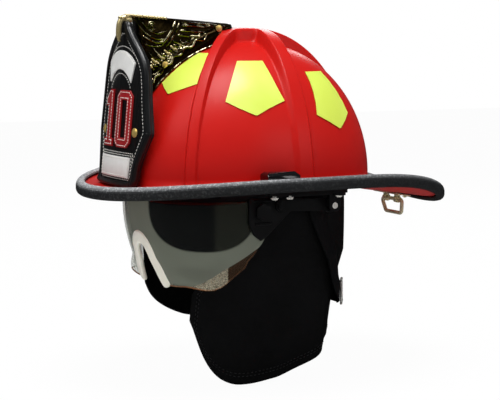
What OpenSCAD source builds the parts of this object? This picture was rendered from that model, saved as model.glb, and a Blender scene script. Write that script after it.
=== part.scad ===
// Traditional fire helmet: ribbed shell with a wide brim, leather front in an eagle holder,
// retractable visor with a nose guard, cloth neck protector, strap and inner suspension.
// Front faces -Y, up is +Z and +X is the wearer's left. The origin is the middle of the
// head opening, level with the line where the dome meets the brim.

/* [Shell] */
// Half width of the dome at the brim line
dome_half_w = 106; // [104:0.5:112]
// Reach of the dome in front of the origin
dome_front = 131; // [129:0.5:138]
// Reach of the dome behind the origin
dome_rear = 123; // [121:0.5:130]
// Height of the dome panels above the brim line
dome_h = 132; // [130:0.5:138]
// Fullness of the dome's rear, where 1 is an ellipse and less is fuller
rear_fullness = 0.9; // [0.85:0.01:1]
// Squareness of the dome in plan, where 2 is an ellipse
dome_square = 2.45; // [2.35:0.05:2.7]
// Wall of the shell
shell_t = 3.2; // [2.6:0.1:3.6]
// Width of the flat top of a rib
rib_w = 12; // [9:0.5:15]
// Rise of the ribs at the crown
comb_rise = 13; // [8:0.5:16]
// Rise of the ribs at the brim line
rib_rise = 3; // [2:0.1:5]

/* [Brim] */
// Half width of the brim at its edge
brim_half_w = 142; // [136:0.5:150]
// Reach of the brim in front of the origin
brim_front = 168.5; // [164:0.5:180]
// Reach of the brim behind the origin
brim_rear = 219; // [212:0.5:228]
// Level of the brim edge at the sides
brim_side_z = 2.5; // [-2:0.5:4]
// Droop of the brim edge at the front, below the sides
brim_droop_front = 12; // [8:0.5:15]
// Droop of the brim edge at the rear, below the sides
brim_droop_rear = 33; // [26:0.5:38]
// Height of the edge trim
trim_h = 12; // [9:0.5:14]
// Depth of the edge trim, from its outer face inwards
trim_depth = 9; // [7:0.5:11]
// Wall of the edge trim outside the brim
trim_wall = 2.5; // [2:0.1:3.5]

/* [Leather front] */
// Height of the leather front
front_h = 156; // [146:1:162]
// Half width of the leather front at its widest place
front_half_w = 57; // [50:1:62]
// Radius that the leather front is bent to
front_bend_r = 170; // [150:5:220]
// Thickness of the leather front
front_t = 3.5; // [2.5:0.1:4]
// Backward lean of the leather front
front_lean = 5.5; // [4:0.5:7]
// Width of the rolled edge round the leather front
roll_w = 5; // [4:0.5:7]

/* [Eagle] */
// Level of the eagle's back at the crown
eagle_tail_z = 148.5; // [147:0.5:153]
// Level of the eagle's back over the leather front
eagle_head_z = 157; // [157:0.5:164]
// Half width of the eagle where it sits on the rib
eagle_half_w = 8; // [7:0.5:11]

/* [Visor] */
// Half width of the visor lens
lens_half_w = 93; // [90:0.5:93.5]
// Reach of the lens in front of the origin
lens_front = 116; // [114:0.5:117]
// Squareness of the lens in plan, where 2 is an ellipse
lens_square = 2.35; // [2.1:0.05:2.4]
// Thickness of the lens
lens_t = 2.4; // [2:0.1:3]
// Level of the lens's lowest point
lens_low_z = -103; // [-110:1:-98]
// Level of the lens's top edge
lens_top_z = -17; // [-20:0.5:-16]
// Distance of the visor's pivot behind the origin
pivot_y = 44; // [43:0.5:46]
// Level of the visor's pivot
pivot_z = -24; // [-25:0.5:-22]
// Diameter of the pivot pins
pivot_d = 6; // [5:0.5:7]
// Width of the nose guard's band
guard_w = 9; // [7:0.5:11]

/* [Suspension] */
// Inner radius of the headband's round ends
band_r = 79; // [77:0.5:79.5]
// Thickness of the headband
band_t = 1.8; // [1.4:0.1:2]
// Height of the headband
band_h = 30; // [28:1:32]
// Level of the headband's lower edge
band_z = -24; // [-26:0.5:-22]
// Distance between the centres of the headband's round ends
band_straight = 32; // [30:1:33]
// Reach of the headband's rear centre behind the origin
band_rear_y = 17; // [16:0.5:19]
// Radius of the ratchet knob
knob_r = 18; // [15:0.5:19]
// Radius of the pinion that drives the two racks
pinion_r = 3.5; // [3:0.1:4]
// Height of each rack
rack_h = 7; // [5:0.5:7.5]
// Half width of the impact cap
cap_half_w = 87; // [85.5:0.5:87.5]
// Reach of the impact cap in front of the origin
cap_front = 100; // [99.5:0.5:101]
// Reach of the impact cap behind the origin
cap_rear = 116; // [113:0.5:117]
// Height of the impact cap above the brim line
cap_h = 116; // [112:0.5:118]
// Wall of the impact cap
cap_t = 2.5; // [2:0.1:3]
// Thickness of the impact foam
foam_t = 12; // [8:0.5:14]
// Width of the crown straps
crown_strap_w = 19; // [15:1:25]

/* [Neck protector] */
// Thickness of the cloth with its lining
cloth_t = 2.4; // [1.6:0.1:2.6]
// Level of the near flap's lowest point
cloth_low_z = -201; // [-210:1:-185]
// Level of the hem at the back of the neck
cloth_rear_z = -160; // [-170:1:-150]

/* [Strap and ring] */
// Width of the chin strap
strap_w = 19; // [16:1:22]
// Thickness of the chin strap
strap_t = 1.8; // [1.4:0.1:2]
// Wire thickness of the hanger ring
ring_wire = 4; // [3:0.25:4.5]
// Depth that the hanger ring hangs below its hinge
ring_drop = 14; // [12:0.5:18]
// Half width of the hanger ring
ring_half_w = 20; // [16:0.5:24]

/* [Hidden] */
// Gap between solids that move or that are soft, and their neighbours
gap = 0.3;
// Gap between a pin and its hole
pin_gap = 0.05;
// Angles of the ribs, from the front towards the wearer's left
rib_angles = [0, 47, 97, 180, 263, 313, 360];
// Width over which a rib's side falls to the panel
rib_side = 3;
// Radius of the raised cap where the ribs meet
crown_r = 13;
$fn = 48;

// Helpers
// Power that keeps the sign of its base
function spow(v, p) = sign(v) * pow(abs(v), p);
// Smooth step from 0 at a to 1 at b
function ease(a, b, v) = let (t = min(1, max(0, (v - a) / (b - a)))) t * t * (3 - 2 * t);
function mix(a, b, t) = a + (b - a) * t;
function unit(v) = v / norm(v);
function flat2(list) = [for (part = list) for (item = part) item];

// Faces of a skin over rows of points that are closed into rings, without its ends
function ring_faces(rows, cols) = flat2([for (i = [0:rows - 2]) flat2([for (j = [0:cols - 1])
    let (a = i * cols + j, b = i * cols + (j + 1) % cols, c = a + cols, d = b + cols)
    [[a, b, d], [a, d, c]]])]);
// Faces that close a ring whose points pair up across it
function cap_faces(first, cols, flip) = flat2([for (j = [0:cols / 2 - 2])
    let (a = first + j, b = a + 1, c = first + cols - 2 - j, d = c + 1)
    flip ? [[a, c, b], [a, d, c]] : [[a, b, c], [a, c, d]]]);
// Solid skinned over a list of rings
module loft(rings) {
    rows = len(rings);
    cols = len(rings[0]);
    polyhedron(flat2(rings), concat(ring_faces(rows, cols),
        cap_faces(0, cols, true), cap_faces((rows - 1) * cols, cols, false)), convexity = 8);
}
// Solid skinned over a closed loop of rings
module ring_loft(rings) {
    rows = len(rings);
    cols = len(rings[0]);
    polyhedron(flat2(rings), flat2([for (i = [0:rows - 1]) flat2([for (j = [0:cols - 1])
        let (a = i * cols + j, b = i * cols + (j + 1) % cols,
            c = ((i + 1) % rows) * cols + j, d = ((i + 1) % rows) * cols + (j + 1) % cols)
        [[a, b, d], [a, d, c]]])]), convexity = 8);
}
// Solid skinned over rings that end in a point at each end
module pole_skin(top, rings, bottom) {
    rows = len(rings);
    cols = len(rings[0]);
    last = rows * cols;
    polyhedron(concat(flat2(rings), [top, bottom]), concat(ring_faces(rows, cols),
        [for (j = [0:cols - 1]) [last, (j + 1) % cols, j]],
        [for (j = [0:cols - 1])
            [last + 1, last - cols + j, last - cols + (j + 1) % cols]]), convexity = 8);
}
// Plate between an outer and an inner surface, which are functions of s and t from 0 to 1
module plate_between(outer, inner, across, down) {
    loft([for (i = [0:down]) concat(
        [for (j = [0:across]) outer(j / across, i / down)],
        [for (j = [across:-1:0]) inner(j / across, i / down)])]);
}
// Copies its children to the other side of the helmet
module both_sides() {
    children();
    mirror([1, 0, 0]) children();
}
// Cylinder along X from x0 to x1, centred on y and z
module x_cylinder(x0, x1, d, y, z) {
    translate([x0, y, z]) rotate([0, 90, 0]) cylinder(h = x1 - x0, d = d);
}
// Extrudes a side view, drawn in y and z, along X from x0 to x1
module side_plate(x0, x1) {
    translate([x0, 0, 0]) rotate([90, 0, 90]) linear_extrude(x1 - x0) children();
}
// Arc wall about the vertical axis at y, from radius r0 to r1 and from z0 to z1, that
// spreads half degrees to each side of the direction dir
module arc_wall(r0, r1, z0, z1, y, dir, half) {
    translate([0, y, z0]) rotate([0, 0, dir - half])
        rotate_extrude(angle = 2 * half, $fn = 96) translate([r0, 0]) square([r1 - r0, z1 - z0]);
}

// Shell
// Point on a dome of the given half sizes, at angle a round it and height angle e
function dome_point(a, e, half_w, front, rear, h, square = dome_square) =
    let (c = cos(e), q = 2 / square)
    [half_w * c * spow(sin(a), q), -(cos(a) > 0 ? front * c
        : rear * pow(c, rear_fullness)) * spow(cos(a), q), h * sin(e)];
function dome_normal(p) = unit([p[0] / pow(dome_half_w, 2),
    p[1] / pow(p[1] < 0 ? dome_front : dome_rear, 2), p[2] / pow(dome_h, 2)]);
function shell_point(a, e, out) =
    let (p = dome_point(a, e, dome_half_w, dome_front, dome_rear, dome_h))
    p + out * dome_normal(p);
// Mean radius of the dome at height angle e
function dome_r(e) = (dome_half_w + dome_front) / 2 * cos(e);
// Rise of the ribs at height angle e
function rise_at(e) = mix(rib_rise, comb_rise, pow(max(0, sin(e)), 4));
// Half width of a rib's top at distance r from the crown, towards which it narrows
crown_rib_share = 0.4;
crown_rib_reach = 62;
function rib_half(r) = rib_w / 2 * mix(crown_rib_share, 1, ease(crown_r, crown_rib_reach, r));
// Share of the rib's rise at distance d from its middle and r from the crown
function rib_share(d, r) = 1 - ease(rib_half(r) - 0.5, rib_half(r) + rib_side, d);
// Distances of the shell's columns from the middle of a rib
function rib_columns(r) = let (half = rib_half(r))
    [0, half - 0.5, half + rib_side / 2, half + rib_side, half + 2.4 * rib_side];
// Share of half a sector that the columns next to a rib take up near the crown
near_share = 0.8;
// Angles of the columns between two ribs that lie span apart, at distance r from the crown
function sector_angles(span, r) =
    let (near = rib_columns(r), squeeze = min(1, near_share * r * sin(span / 2) / near[4]),
        edge = [for (d = near) asin(d * squeeze / r)])
    concat(edge, [for (i = [1:2]) mix(edge[4], span - edge[4], i / 3)],
        [for (i = [4:-1:1]) span - edge[i]]);
// Distance from the middle of the nearest rib, rounded where two ribs meet
function rib_blend(r) = mix(4, 1.2, ease(crown_r, 40, r));
function rib_distance(a, r) = let (k = rib_blend(r)) -k * ln(exp_sum(k, [for (k = [0:5])
    let (t = abs(((a - rib_angles[k] + 540) % 360) - 180)) t < 90 ? r * sin(t) : r]));
function exp_sum(k, list, i = 0) = i == len(list) ? 0 : exp(-list[i] / k) + exp_sum(k, list, i + 1);
// Width of the step down from the raised cap where the ribs meet
crown_side = 3;
function dome_row(e, out, ribbed) =
    let (r = dome_r(e), crown = 1 - ease(crown_r - crown_side, crown_r + crown_side, r))
    flat2([for (k = [0:5]) let (a0 = rib_angles[k], span = rib_angles[k + 1] - a0)
        [for (t = sector_angles(span, r))
            let (share = ribbed ? rib_share(rib_distance(a0 + t, r), r) : 0)
            shell_point(a0 + t, e, out + (ribbed
                ? rise_at(e) * (1 - (1 - share) * (1 - crown)) : 0))]]);
column_angles = flat2([for (k = [0:5]) let (a0 = rib_angles[k], span = rib_angles[k + 1] - a0)
    [for (t = sector_angles(span, dome_r(0))) a0 + t]]);
// Level where the dome meets the brim, at angle a
function join_z(a) = -1 - 6 * pow(max(0, cos(a)), 2) - 17 * pow(max(0, -cos(a)), 3);
// Level of the brim edge at angle a
function edge_z(a) = brim_side_z - brim_droop_front * pow(max(0, cos(a)), 2)
    - brim_droop_rear * pow(max(0, -cos(a)), 3.4);
// Point on the brim edge at angle a, and d inwards from it in plan
brim_front_power = 0.97;
brim_rear_power = 0.94;
function edge_point(a, d) = let (q = cos(a) > 0 ? brim_front_power : brim_rear_power)
    [(brim_half_w - d) * spow(sin(a), q),
        -((cos(a) > 0 ? brim_front : brim_rear) - d) * spow(cos(a), q), edge_z(a)];
// Row of the brim's upper or lower face, at share t from the dome to the edge
function brim_row(t, out) =
    let (base = dome_row(0, out < 0 ? out : 0, out == 0))
    [for (i = [0:len(base) - 1])
        let (p = base[i], a = column_angles[i], q = edge_point(a, trim_wall))
        [mix(p[0], q[0], t), mix(p[1], q[1], t),
            mix(join_z(a), q[2], pow(t, 1.3)) + 3 * pow(1 - t, 8) + out]];
// Level of the brim's upper face at a place outside the dome
function brim_top_z(a, y) =
    let (r0 = abs(dome_point(a, 0, dome_half_w, dome_front, dome_rear, dome_h)[1]),
        r1 = abs(edge_point(a, trim_wall)[1]), t = (abs(y) - r0) / (r1 - r0))
    mix(join_z(a), edge_z(a), pow(max(0, t), 1.3));

module outer_shell() {
    color("#c8191b") pole_skin([0, 0, dome_h + comb_rise],
        concat([for (e = [88, 85.2, 84, 83, 82, 81, 79, 76, 71, 64, 56, 47, 38, 29, 20, 12, 5])
                dome_row(e, 0, true)],
            [for (t = [0.02, 0.1, 0.3, 0.55, 0.8, 1]) brim_row(t, 0)],
            [for (t = [1, 0.7, 0.4, 0.16, 0.04]) brim_row(t, -shell_t)],
            [for (e = [4, 16, 30, 44, 58, 72, 82]) dome_row(e, -shell_t, false)]),
        [0, 0, dome_h - shell_t]);
}

// Edge trim: a rubber channel pushed over the brim edge
trim_steps = 72;
// Slope of the brim near its edge at angle a, as rise for each step inwards
function brim_slope(a) =
    let (p = dome_point(a, 0, dome_half_w, dome_front, dome_rear, dome_h),
        q = edge_point(a, trim_wall))
    1.3 * (join_z(a) - edge_z(a)) / norm([p[0] - q[0], p[1] - q[1]]);
function trim_rings(profile) = [for (k = [0:trim_steps - 1]) let (a = 360 * k / trim_steps)
    [for (p = profile) edge_point(a, p[0])
        + [0, 0, p[1] - shell_t / 2 + brim_slope(a) * (p[0] - trim_wall)]]];
module edge_trim() {
    half = shell_t / 2 + 2 * gap;
    color("#2b2c2e") ring_loft(trim_rings([
        [0, 0.12 * trim_h], [0.12 * trim_depth, 0.34 * trim_h],
        [0.42 * trim_depth, 0.47 * trim_h], [0.8 * trim_depth, 0.46 * trim_h],
        [trim_depth, 0.3 * trim_h], [trim_depth, half], [trim_wall - gap, half],
        [trim_wall - gap, -half], [trim_depth, -half], [trim_depth, -0.34 * trim_h],
        [0.8 * trim_depth, -0.5 * trim_h], [0.42 * trim_depth, -0.51 * trim_h],
        [0.12 * trim_depth, -0.38 * trim_h], [0, -0.16 * trim_h]]));
}

// Leather front
// Level of the front's lower edge
front_z = join_z(0) + 2;
// Place of the front's middle at its lower edge
front_y = -dome_front - rib_rise - 7;
// Outline of the front as half widths at heights, both as shares of its sizes
front_shape = [[0, 0.68], [0.04, 0.735], [0.11, 0.76], [0.17, 0.81], [0.315, 0.985],
    [0.34, 1], [0.375, 0.985], [0.54, 0.9], [0.64, 0.86], [0.72, 0.81], [0.78, 0.72],
    [0.85, 0.54], [0.92, 0.31], [0.965, 0.18], [1, 0.11]];
module front_outline(grow) {
    polygon(concat([for (p = front_shape)
            [p[1] * front_half_w + grow, p[0] * (front_h + 2 * grow) - grow]],
        [for (i = [len(front_shape) - 1:-1:0]) let (p = front_shape[i])
            [-p[1] * front_half_w - grow, p[0] * (front_h + 2 * grow) - grow]]));
}
// Leather layer from depth in behind the front's face to out before it, cut to a 2D shape
module leather(out, in) {
    translate([0, front_y, front_z]) rotate([-front_lean, 0, 0]) intersection() {
        translate([0, front_bend_r, 0]) rotate([0, 0, -120]) rotate_extrude(angle = 60, $fn = 180)
            translate([front_bend_r - in, -20]) square([in + out, front_h + 60]);
        rotate([90, 0, 0]) linear_extrude(60, center = true) children();
    }
}
// Screws of the front and rails: diameter of the shank, and the place of the front's screws
screw_d = 4;
screw_hole_d = screw_d + 0.1;
screw_x = 0.231 * front_h;
screw_h = 0.335 * front_h;
module leather_front() {
    color("#161616") leather(0, front_t) difference() {
        front_outline(-roll_w - 0.2);
        for (s = [-1, 1]) translate([s * screw_x, screw_h]) circle(d = screw_d + 1.6);
    }
}
module front_backing() {
    color("#0f0f10") {
        leather(2, front_t + 1) difference() {
            front_outline(0);
            front_outline(-roll_w);
        }
        leather(-front_t - 0.1, front_t + 2.1) difference() {
            front_outline(-1);
            for (s = [-1, 1]) translate([s * screw_x, screw_h]) circle(d = screw_d + 1.6);
        }
    }
}
// Arched banner: its middle height and half width, as shares of the front's sizes
module top_banner() {
    color("#e8e6e0") leather(1.6, -0.1) intersection() {
        front_outline(-roll_w - 5);
        difference() {
            translate([0, 0.43 * front_h]) scale([1, 1.15]) circle(r = 0.36 * front_h, $fn = 90);
            translate([0, 0.4 * front_h]) scale([1, 1.05]) circle(r = 0.29 * front_h, $fn = 90);
            translate([-100, 0]) square([200, 0.55 * front_h]);
        }
    }
}
module bottom_banner() {
    color("#e8e6e0") leather(1.6, -0.1) translate([-0.56 * front_half_w, 0.055 * front_h])
        square([1.12 * front_half_w, 0.125 * front_h]);
}
// Block numeral 1, drawn in a box of width 0.6 and height 1
module numeral_one() {
    polygon([[0.1, 0], [0.62, 0], [0.62, 0.14], [0.5, 0.14], [0.5, 1], [0.3, 1],
        [0.08, 0.84], [0.08, 0.7], [0.24, 0.7], [0.24, 0.14], [0.1, 0.14]]);
}
// Block numeral 0 with cut corners
module numeral_zero() {
    difference() {
        polygon([[0.12, 0], [0.5, 0], [0.62, 0.1], [0.62, 0.9], [0.5, 1], [0.12, 1],
            [0, 0.9], [0, 0.1]]);
        translate([0.2, 0.17]) square([0.22, 0.66]);
    }
}
module front_number() {
    size = 0.35 * front_h;
    color("#9c1418") leather(1.8, -0.1) translate([0, 0.235 * front_h]) {
        translate([-0.63 * size, 0]) scale([0.88 * size, size]) numeral_one();
        translate([0.015 * size, 0]) scale([0.88 * size, size]) numeral_zero();
    }
}
// Place of the front's face at x and height h, with its lean
function front_face(x, h) = let (y = front_bend_r - sqrt(pow(front_bend_r, 2) - x * x))
    [x, front_y + y * cos(front_lean) + h * sin(front_lean), front_z + h * cos(front_lean)
        - y * sin(front_lean)];
module front_screws() {
    p = front_face(screw_x, screw_h);
    color("#b08d3c") both_sides() translate(p) {
        rotate([90 - front_lean, 0, asin(screw_x / front_bend_r)]) translate([0, 0, gap])
            intersection() {
                cylinder(h = 1.8, d = 9);
                translate([0, 0, -5]) sphere(r = 6.8);
            }
        rotate([90, 0, 0]) translate([0, 0, -front_t - 6]) cylinder(h = front_t + 6.8, d = screw_d);
    }
}
module front_brackets() {
    p = front_face(screw_x, screw_h);
    back = p[1] + front_t + 3.6;
    color("#3a3a3c") both_sides() translate([p[0], back, p[2]]) rotate([-90, 0, 0])
        difference() {
            cylinder(h = shell_front_y(screw_x - 5, p[2] - 5) - back - gap, d = 10);
            translate([0, 0, -1]) cylinder(h = front_t + dome_front, d = screw_hole_d);
        }
}
// Place of the dome's front face at x and level z
function shell_front_y(x, z) = let (c = sqrt(1 - pow(z / dome_h, 2)))
    -dome_front * c * pow(1 - pow(x / (dome_half_w * c), dome_square), 1 / dome_square);

// Eagle: a cast figure that stands on the front rib, with its beak over the leather front
eagle_rows = 26;
// Height angles of the dome that the eagle's foot runs between, and the ends of its back
eagle_foot_e = [84, 38];
eagle_tail_y = -8;
eagle_head_y = -120;
function eagle_foot(s) = let (e = mix(eagle_foot_e[0], eagle_foot_e[1], s))
    shell_point(0, e, rise_at(e) + gap);
// Level of the eagle's back at distance y
function eagle_back(y) = mix(eagle_tail_z, eagle_head_z,
    min(1, max(0, (eagle_tail_y - y) / (eagle_tail_y - eagle_head_y))));
// Half width of the body at share v of its height, with rows of feathers that end in scallops
eagle_side = [[0, 1], [0.05, 1.12], [0.1, 0.9], [0.2, 0.8], [0.32, 0.74], [0.45, 0.7],
    [0.58, 0.64], [0.7, 0.55], [0.82, 0.42], [0.92, 0.28], [1, 0.06]];
function feather(s, v) = v < 0.12 || v > 0.95 ? 0 :
    0.9 * abs(sin(180 * (eagle_rows / 3 * s + (floor(v * 8) % 2) / 2))) - 0.4;
function eagle_ring(s, foot, w) = let (top = max(foot[2] + 4, eagle_back(foot[1])))
    concat([for (q = eagle_side) [-w * q[1] - feather(s, q[0]), foot[1],
            mix(foot[2], top, q[0])]],
        [for (i = [len(eagle_side) - 1:-1:0]) let (q = eagle_side[i])
            [w * q[1] + feather(s, q[0]), foot[1], mix(foot[2], top, q[0])]]);
// Steps of the neck in front of the rib: y and the level of its underside
eagle_neck = [[-108, 112], [-111, 126], [-114.5, 139], [-116, 151.2], [-119.5, 152]];
// Centre line of the beak, with its radius
beak_path = [[-122.5, 155.4, 3], [-126.6, 154.9, 3], [-130.4, 152.2, 2.5], [-132, 146, 2],
    [-132.3, 140, 1.7], [-132.3, 134.5, 1.4], [-132.1, 131, 0.6]];
function beak_ring(i) = let (last = len(beak_path) - 1, half = len(eagle_side) - 1,
        q = beak_path[i], a = beak_path[max(0, i - 1)], b = beak_path[min(last, i + 1)],
        t = unit([b[0] - a[0], b[1] - a[1]]))
    [for (j = [0:2 * half + 1]) let (k = j > half ? 2 * half + 1 - j : j,
            u = mix(-90, 90, k / half), side = j > half ? 1 : -1)
        [side * q[2] * 1.15 * max(0.05, cos(u)), q[0] + q[2] * sin(u) * t[1],
            q[1] - q[2] * sin(u) * t[0]]];
module eagle_holder() {
    last = len(eagle_neck) - 1;
    color("#6f5a2a") loft(concat(
        [for (i = [0:eagle_rows]) let (s = i / eagle_rows)
            eagle_ring(s, eagle_foot(s), eagle_half_w)],
        [for (i = [0:last]) eagle_ring(1, [0, eagle_neck[i][0], eagle_neck[i][1]],
            mix(eagle_half_w, 5, i / last))],
        [for (i = [0:len(beak_path) - 1]) beak_ring(i)]));
}
module eagle_screws() {
    color("#c9a04a") both_sides() for (s = [0.14, 0.74]) {
        foot = eagle_foot(s);
        x0 = eagle_half_w + 1.2;
        x_cylinder(x0, x0 + 1.2, 6.4, foot[1], foot[2] + 3.2);
        x_cylinder(x0 + 1.2, x0 + 2, 4.4, foot[1], foot[2] + 3.2);
    }
}

// Reflective panels: a five-sided sheet in each gap between the ribs.
// Each holds the angles of its middle at the top, waist and point, the height angles of
// these three, and the half spreads at the top and waist
panels = [[24, 24, 21, 65, 44, 38.5, 11, 16.5], [76.5, 76, 78, 58.5, 35, 28.5, 10, 14],
    [120.5, 116, 116, 50.5, 28, 21.5, 10, 13]];
panel_t = 0.5;
function panel_point(p, u, v, out) = let (
        mid = v < 0.75 ? mix(p[0], p[1], v / 0.75) : mix(p[1], p[2], (v - 0.75) * 4),
        e = v < 0.75 ? mix(p[3], p[4], v / 0.75) : mix(p[4], p[5], (v - 0.75) * 4),
        half = v < 0.75 ? mix(p[6], p[7], v / 0.75) : mix(p[7], 0.4, (v - 0.75) * 4))
    shell_point(mid + (2 * u - 1) * half, e, out);
module reflective_panels() {
    color("#d8f03a") both_sides() for (p = panels)
        loft([for (v = [0, 0.19, 0.38, 0.57, 0.75, 0.875, 1]) concat(
            [for (j = [0:6]) panel_point(p, j / 6, v, panel_t + 0.5)],
            [for (j = [6:-1:0]) panel_point(p, j / 6, v, 0.5)])]);
}

// Blocks on the brim that the side rails are screwed to
block_x0 = mix(dome_half_w, brim_half_w, 1 / 6);
block_x1 = brim_half_w - trim_depth - 4.5;
block_w = block_x1 - block_x0;
block_top = 12.5;
block_length = 34;
block_rear_y = -5;
block_chamfer = 3.5;
rail_screw_y = [-25, -9];
module brim_blocks() {
    color("#0c0c0d") both_sides() difference() {
        translate([0, block_rear_y, 0]) rotate([90, 0, 0]) linear_extrude(block_length)
            polygon([[block_x0, 1], [block_x1, brim_side_z - 0.2], [block_x1, block_top - block_chamfer],
                [block_x1 - 0.24 * block_w, block_top], [block_x0 + 0.18 * block_w, block_top],
                [block_x0, block_top - 2.5]]);
        for (y = [block_rear_y - block_length - 1, block_rear_y])
            translate([block_x0 - 1, y, block_top - block_chamfer])
            rotate([45, 0, 0]) cube([block_w + 2, 8, 8]);
    }
}
// Rails under the brim, each with a lug that carries a pivot pin
rail_x = mix(dome_half_w, brim_half_w, 0.25);
rail_low_z = -10.5;
lug_x0 = rail_x - 12;
module side_rails() {
    color("#101011") both_sides() {
        difference() {
            union() {
                side_plate(rail_x - 7, rail_x + 6) polygon([[-34, -4.5], [0, -3.5], [25, -3.9],
                    [50, -5.7], [50, rail_low_z], [-30, rail_low_z], [-34, -8]]);
                translate([rail_x, pivot_y, rail_low_z - 2.5]) cylinder(h = 3, d = 13);
                side_plate(rail_x - 1, rail_x + 1) polygon([[-22, rail_low_z - 2],
                    [38, rail_low_z - 2], [38, rail_low_z + 1], [-22, rail_low_z + 1]]);
            }
            for (y = concat(rail_screw_y, [pivot_y]))
                translate([rail_x, y, rail_low_z - 6]) cylinder(h = 11.5, d = screw_hole_d);
        }
        difference() {
            union() {
                side_plate(lug_x0, rail_x - 6.9) {
                    translate([pivot_y, pivot_z]) circle(d = 12.4);
                    translate([pivot_y - 6.2, pivot_z]) square([12.4, rail_low_z - pivot_z + 2]);
                }
                x_cylinder(arm_x1 + gap, lug_x0 + 0.1, 11, pivot_y, pivot_z);
            }
            x_cylinder(arm_x1, rail_x, pivot_d, pivot_y, pivot_z);
        }
    }
}
module rail_screws() {
    color("#c9c6bd") both_sides() for (y = concat(rail_screw_y, [pivot_y])) {
        low = y > 0 ? rail_low_z - 2.5 : rail_low_z - 2;
        translate([rail_x, y, low - 2]) difference() {
            cylinder(h = 2, d1 = 5.4, d2 = 7.6);
            for (r = [0, 90]) rotate([0, 0, r]) translate([-2.2, -0.4, -1]) cube([4.4, 0.8, 2]);
        }
        translate([rail_x, y, low - 0.1]) cylinder(h = 7, d = screw_d);
    }
}
module pivot_pins() {
    color("#8f8f8c") both_sides() {
        x_cylinder(arm_x0 - 0.8, rail_x - 6.9, pivot_d - 2 * pin_gap, pivot_y, pivot_z);
        x_cylinder(arm_x0 - 2.3, arm_x0 - gap, pivot_d + 3, pivot_y, pivot_z);
    }
}

// Visor: arms, carriers, grips, lens and nose guard, which turn together about the pins
carrier_x0 = lens_half_w + 0.3;
carrier_x1 = carrier_x0 + 2.4;
arm_x0 = carrier_x1 + 1;
arm_x1 = arm_x0 + 2.6;
knob_y = -8;
knob_z = -21.5;
module visor_arms() {
    color("#141415") both_sides() {
        difference() {
            side_plate(arm_x0, arm_x1) {
                translate([pivot_y, pivot_z]) circle(d = 15);
                translate([knob_y, knob_z]) circle(d = 13);
                polygon([[pivot_y, pivot_z - 6], [pivot_y, pivot_z + 6], [knob_y, knob_z + 6],
                    [knob_y, knob_z - 6]]);
            }
            x_cylinder(arm_x0 - 1, arm_x1 + 1, pivot_d + 2 * pin_gap, pivot_y, pivot_z);
        }
        x_cylinder(carrier_x1, arm_x0 + 0.1, 9, knob_y, knob_z);
        x_cylinder(arm_x1 - 0.1, arm_x1 + 1.6, 10.5, knob_y, knob_z);
        x_cylinder(arm_x1 + 1.5, arm_x1 + 2.1, 6.5, knob_y, knob_z);
    }
}
carrier_shape = [[-42, -14.5], [-42, -38], [-37, -49], [-29, -55.5], [-21, -50], [3, -28],
    [7, -21], [7, -14.5]];
module visor_carriers() {
    color("#131314") both_sides() {
        side_plate(carrier_x0, carrier_x1) polygon(carrier_shape);
        side_plate(carrier_x1 - 0.1, carrier_x1 + 1.4) {
            polygon([[-38, -16], [-18, -16], [-18, -18], [-38, -18]]);
            polygon([[-36, -38], [-18, -38], [-18, -40], [-35, -40]]);
        }
    }
}
module release_grips() {
    color("#1b1b1c") both_sides() {
        x_cylinder(carrier_x1 + 0.1, carrier_x1 + 1.2, 12, -28, -27.5);
        translate([carrier_x1 + 1.2, -28, -27.5]) rotate([0, 90, 0])
            cylinder(h = 2.6, d = 17, $fn = 6);
    }
}
// Depth of the lens from its front to its sides in plan
lens_depth = 75;
// Straight sides of the lens run back to this far in front of the origin
lens_side_y = 24;
// Outline of the lens in plan as [distance from the pivot axis, x], grown by out
function lens_arc(out) = concat(
    [[pivot_y + lens_side_y, -lens_half_w - out]],
    [for (i = [0:26]) let (u = mix(-90, 90, i / 26), q = 2 / lens_square)
        [pivot_y + lens_front - lens_depth + (lens_depth + out) * pow(abs(cos(u)), q),
            (lens_half_w + out) * spow(sin(u), q)]],
    [[pivot_y + lens_side_y, lens_half_w + out]]);
function reversed(list) = [for (i = [len(list) - 1:-1:0]) list[i]];
// Band of the lens's surface from depth in to out, over the angles that the visor uses
module lens_band(out, in) {
    translate([0, pivot_y, pivot_z]) rotate([0, 90, 0]) rotate([0, 0, -98])
        rotate_extrude(angle = 52, $fn = 120)
            polygon(concat(lens_arc(out), reversed(lens_arc(-in))));
}
// Prism along Y with a shape drawn in x and z
module front_prism() {
    rotate([90, 0, 0]) linear_extrude(200) children();
}
nose_z = -76;
// Arch of the nose: a round top of radius r with sides that open to half width low
module nose_arch(r, low, end) {
    translate([0, nose_z]) circle(r = r);
    polygon([[-r, nose_z], [r, nose_z], [low, end], [-low, end]]);
}
lens_low = [[24, -95], [40, -96], [56, -98], [70, -101.5], [79, -103], [95, -103]];
// Rear edge of the lens in side view, from its lowest point up to the carrier
lens_rear = [[-75, -103], [-65, -98.5], [-56, -92], [-46, -80.5], [-32, -64], [-24, -54.6]];
module lens_outline() {
    polygon(concat([for (p = lens_low) [p[0], p[1] + 103 + lens_low_z]],
        [[lens_half_w + 2, lens_top_z], [-lens_half_w - 2, lens_top_z]],
        [for (i = [len(lens_low) - 1:-1:0])
            [-lens_low[i][0], lens_low[i][1] + 103 + lens_low_z]]));
}
guard_inner_r = 13;
module visor_lens() {
    color("#6d756a") intersection() {
        lens_band(0, lens_t);
        front_prism() difference() {
            lens_outline();
            nose_arch(guard_inner_r + guard_w * 0.6, 28, lens_low_z - 5);
        }
        side_plate(-lens_half_w - 1, lens_half_w + 1) polygon(concat(lens_rear,
            [[-lens_side_y, lens_top_z], [-lens_front - 5, lens_top_z],
                [-lens_front - 5, lens_low_z]]));
    }
}
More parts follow.
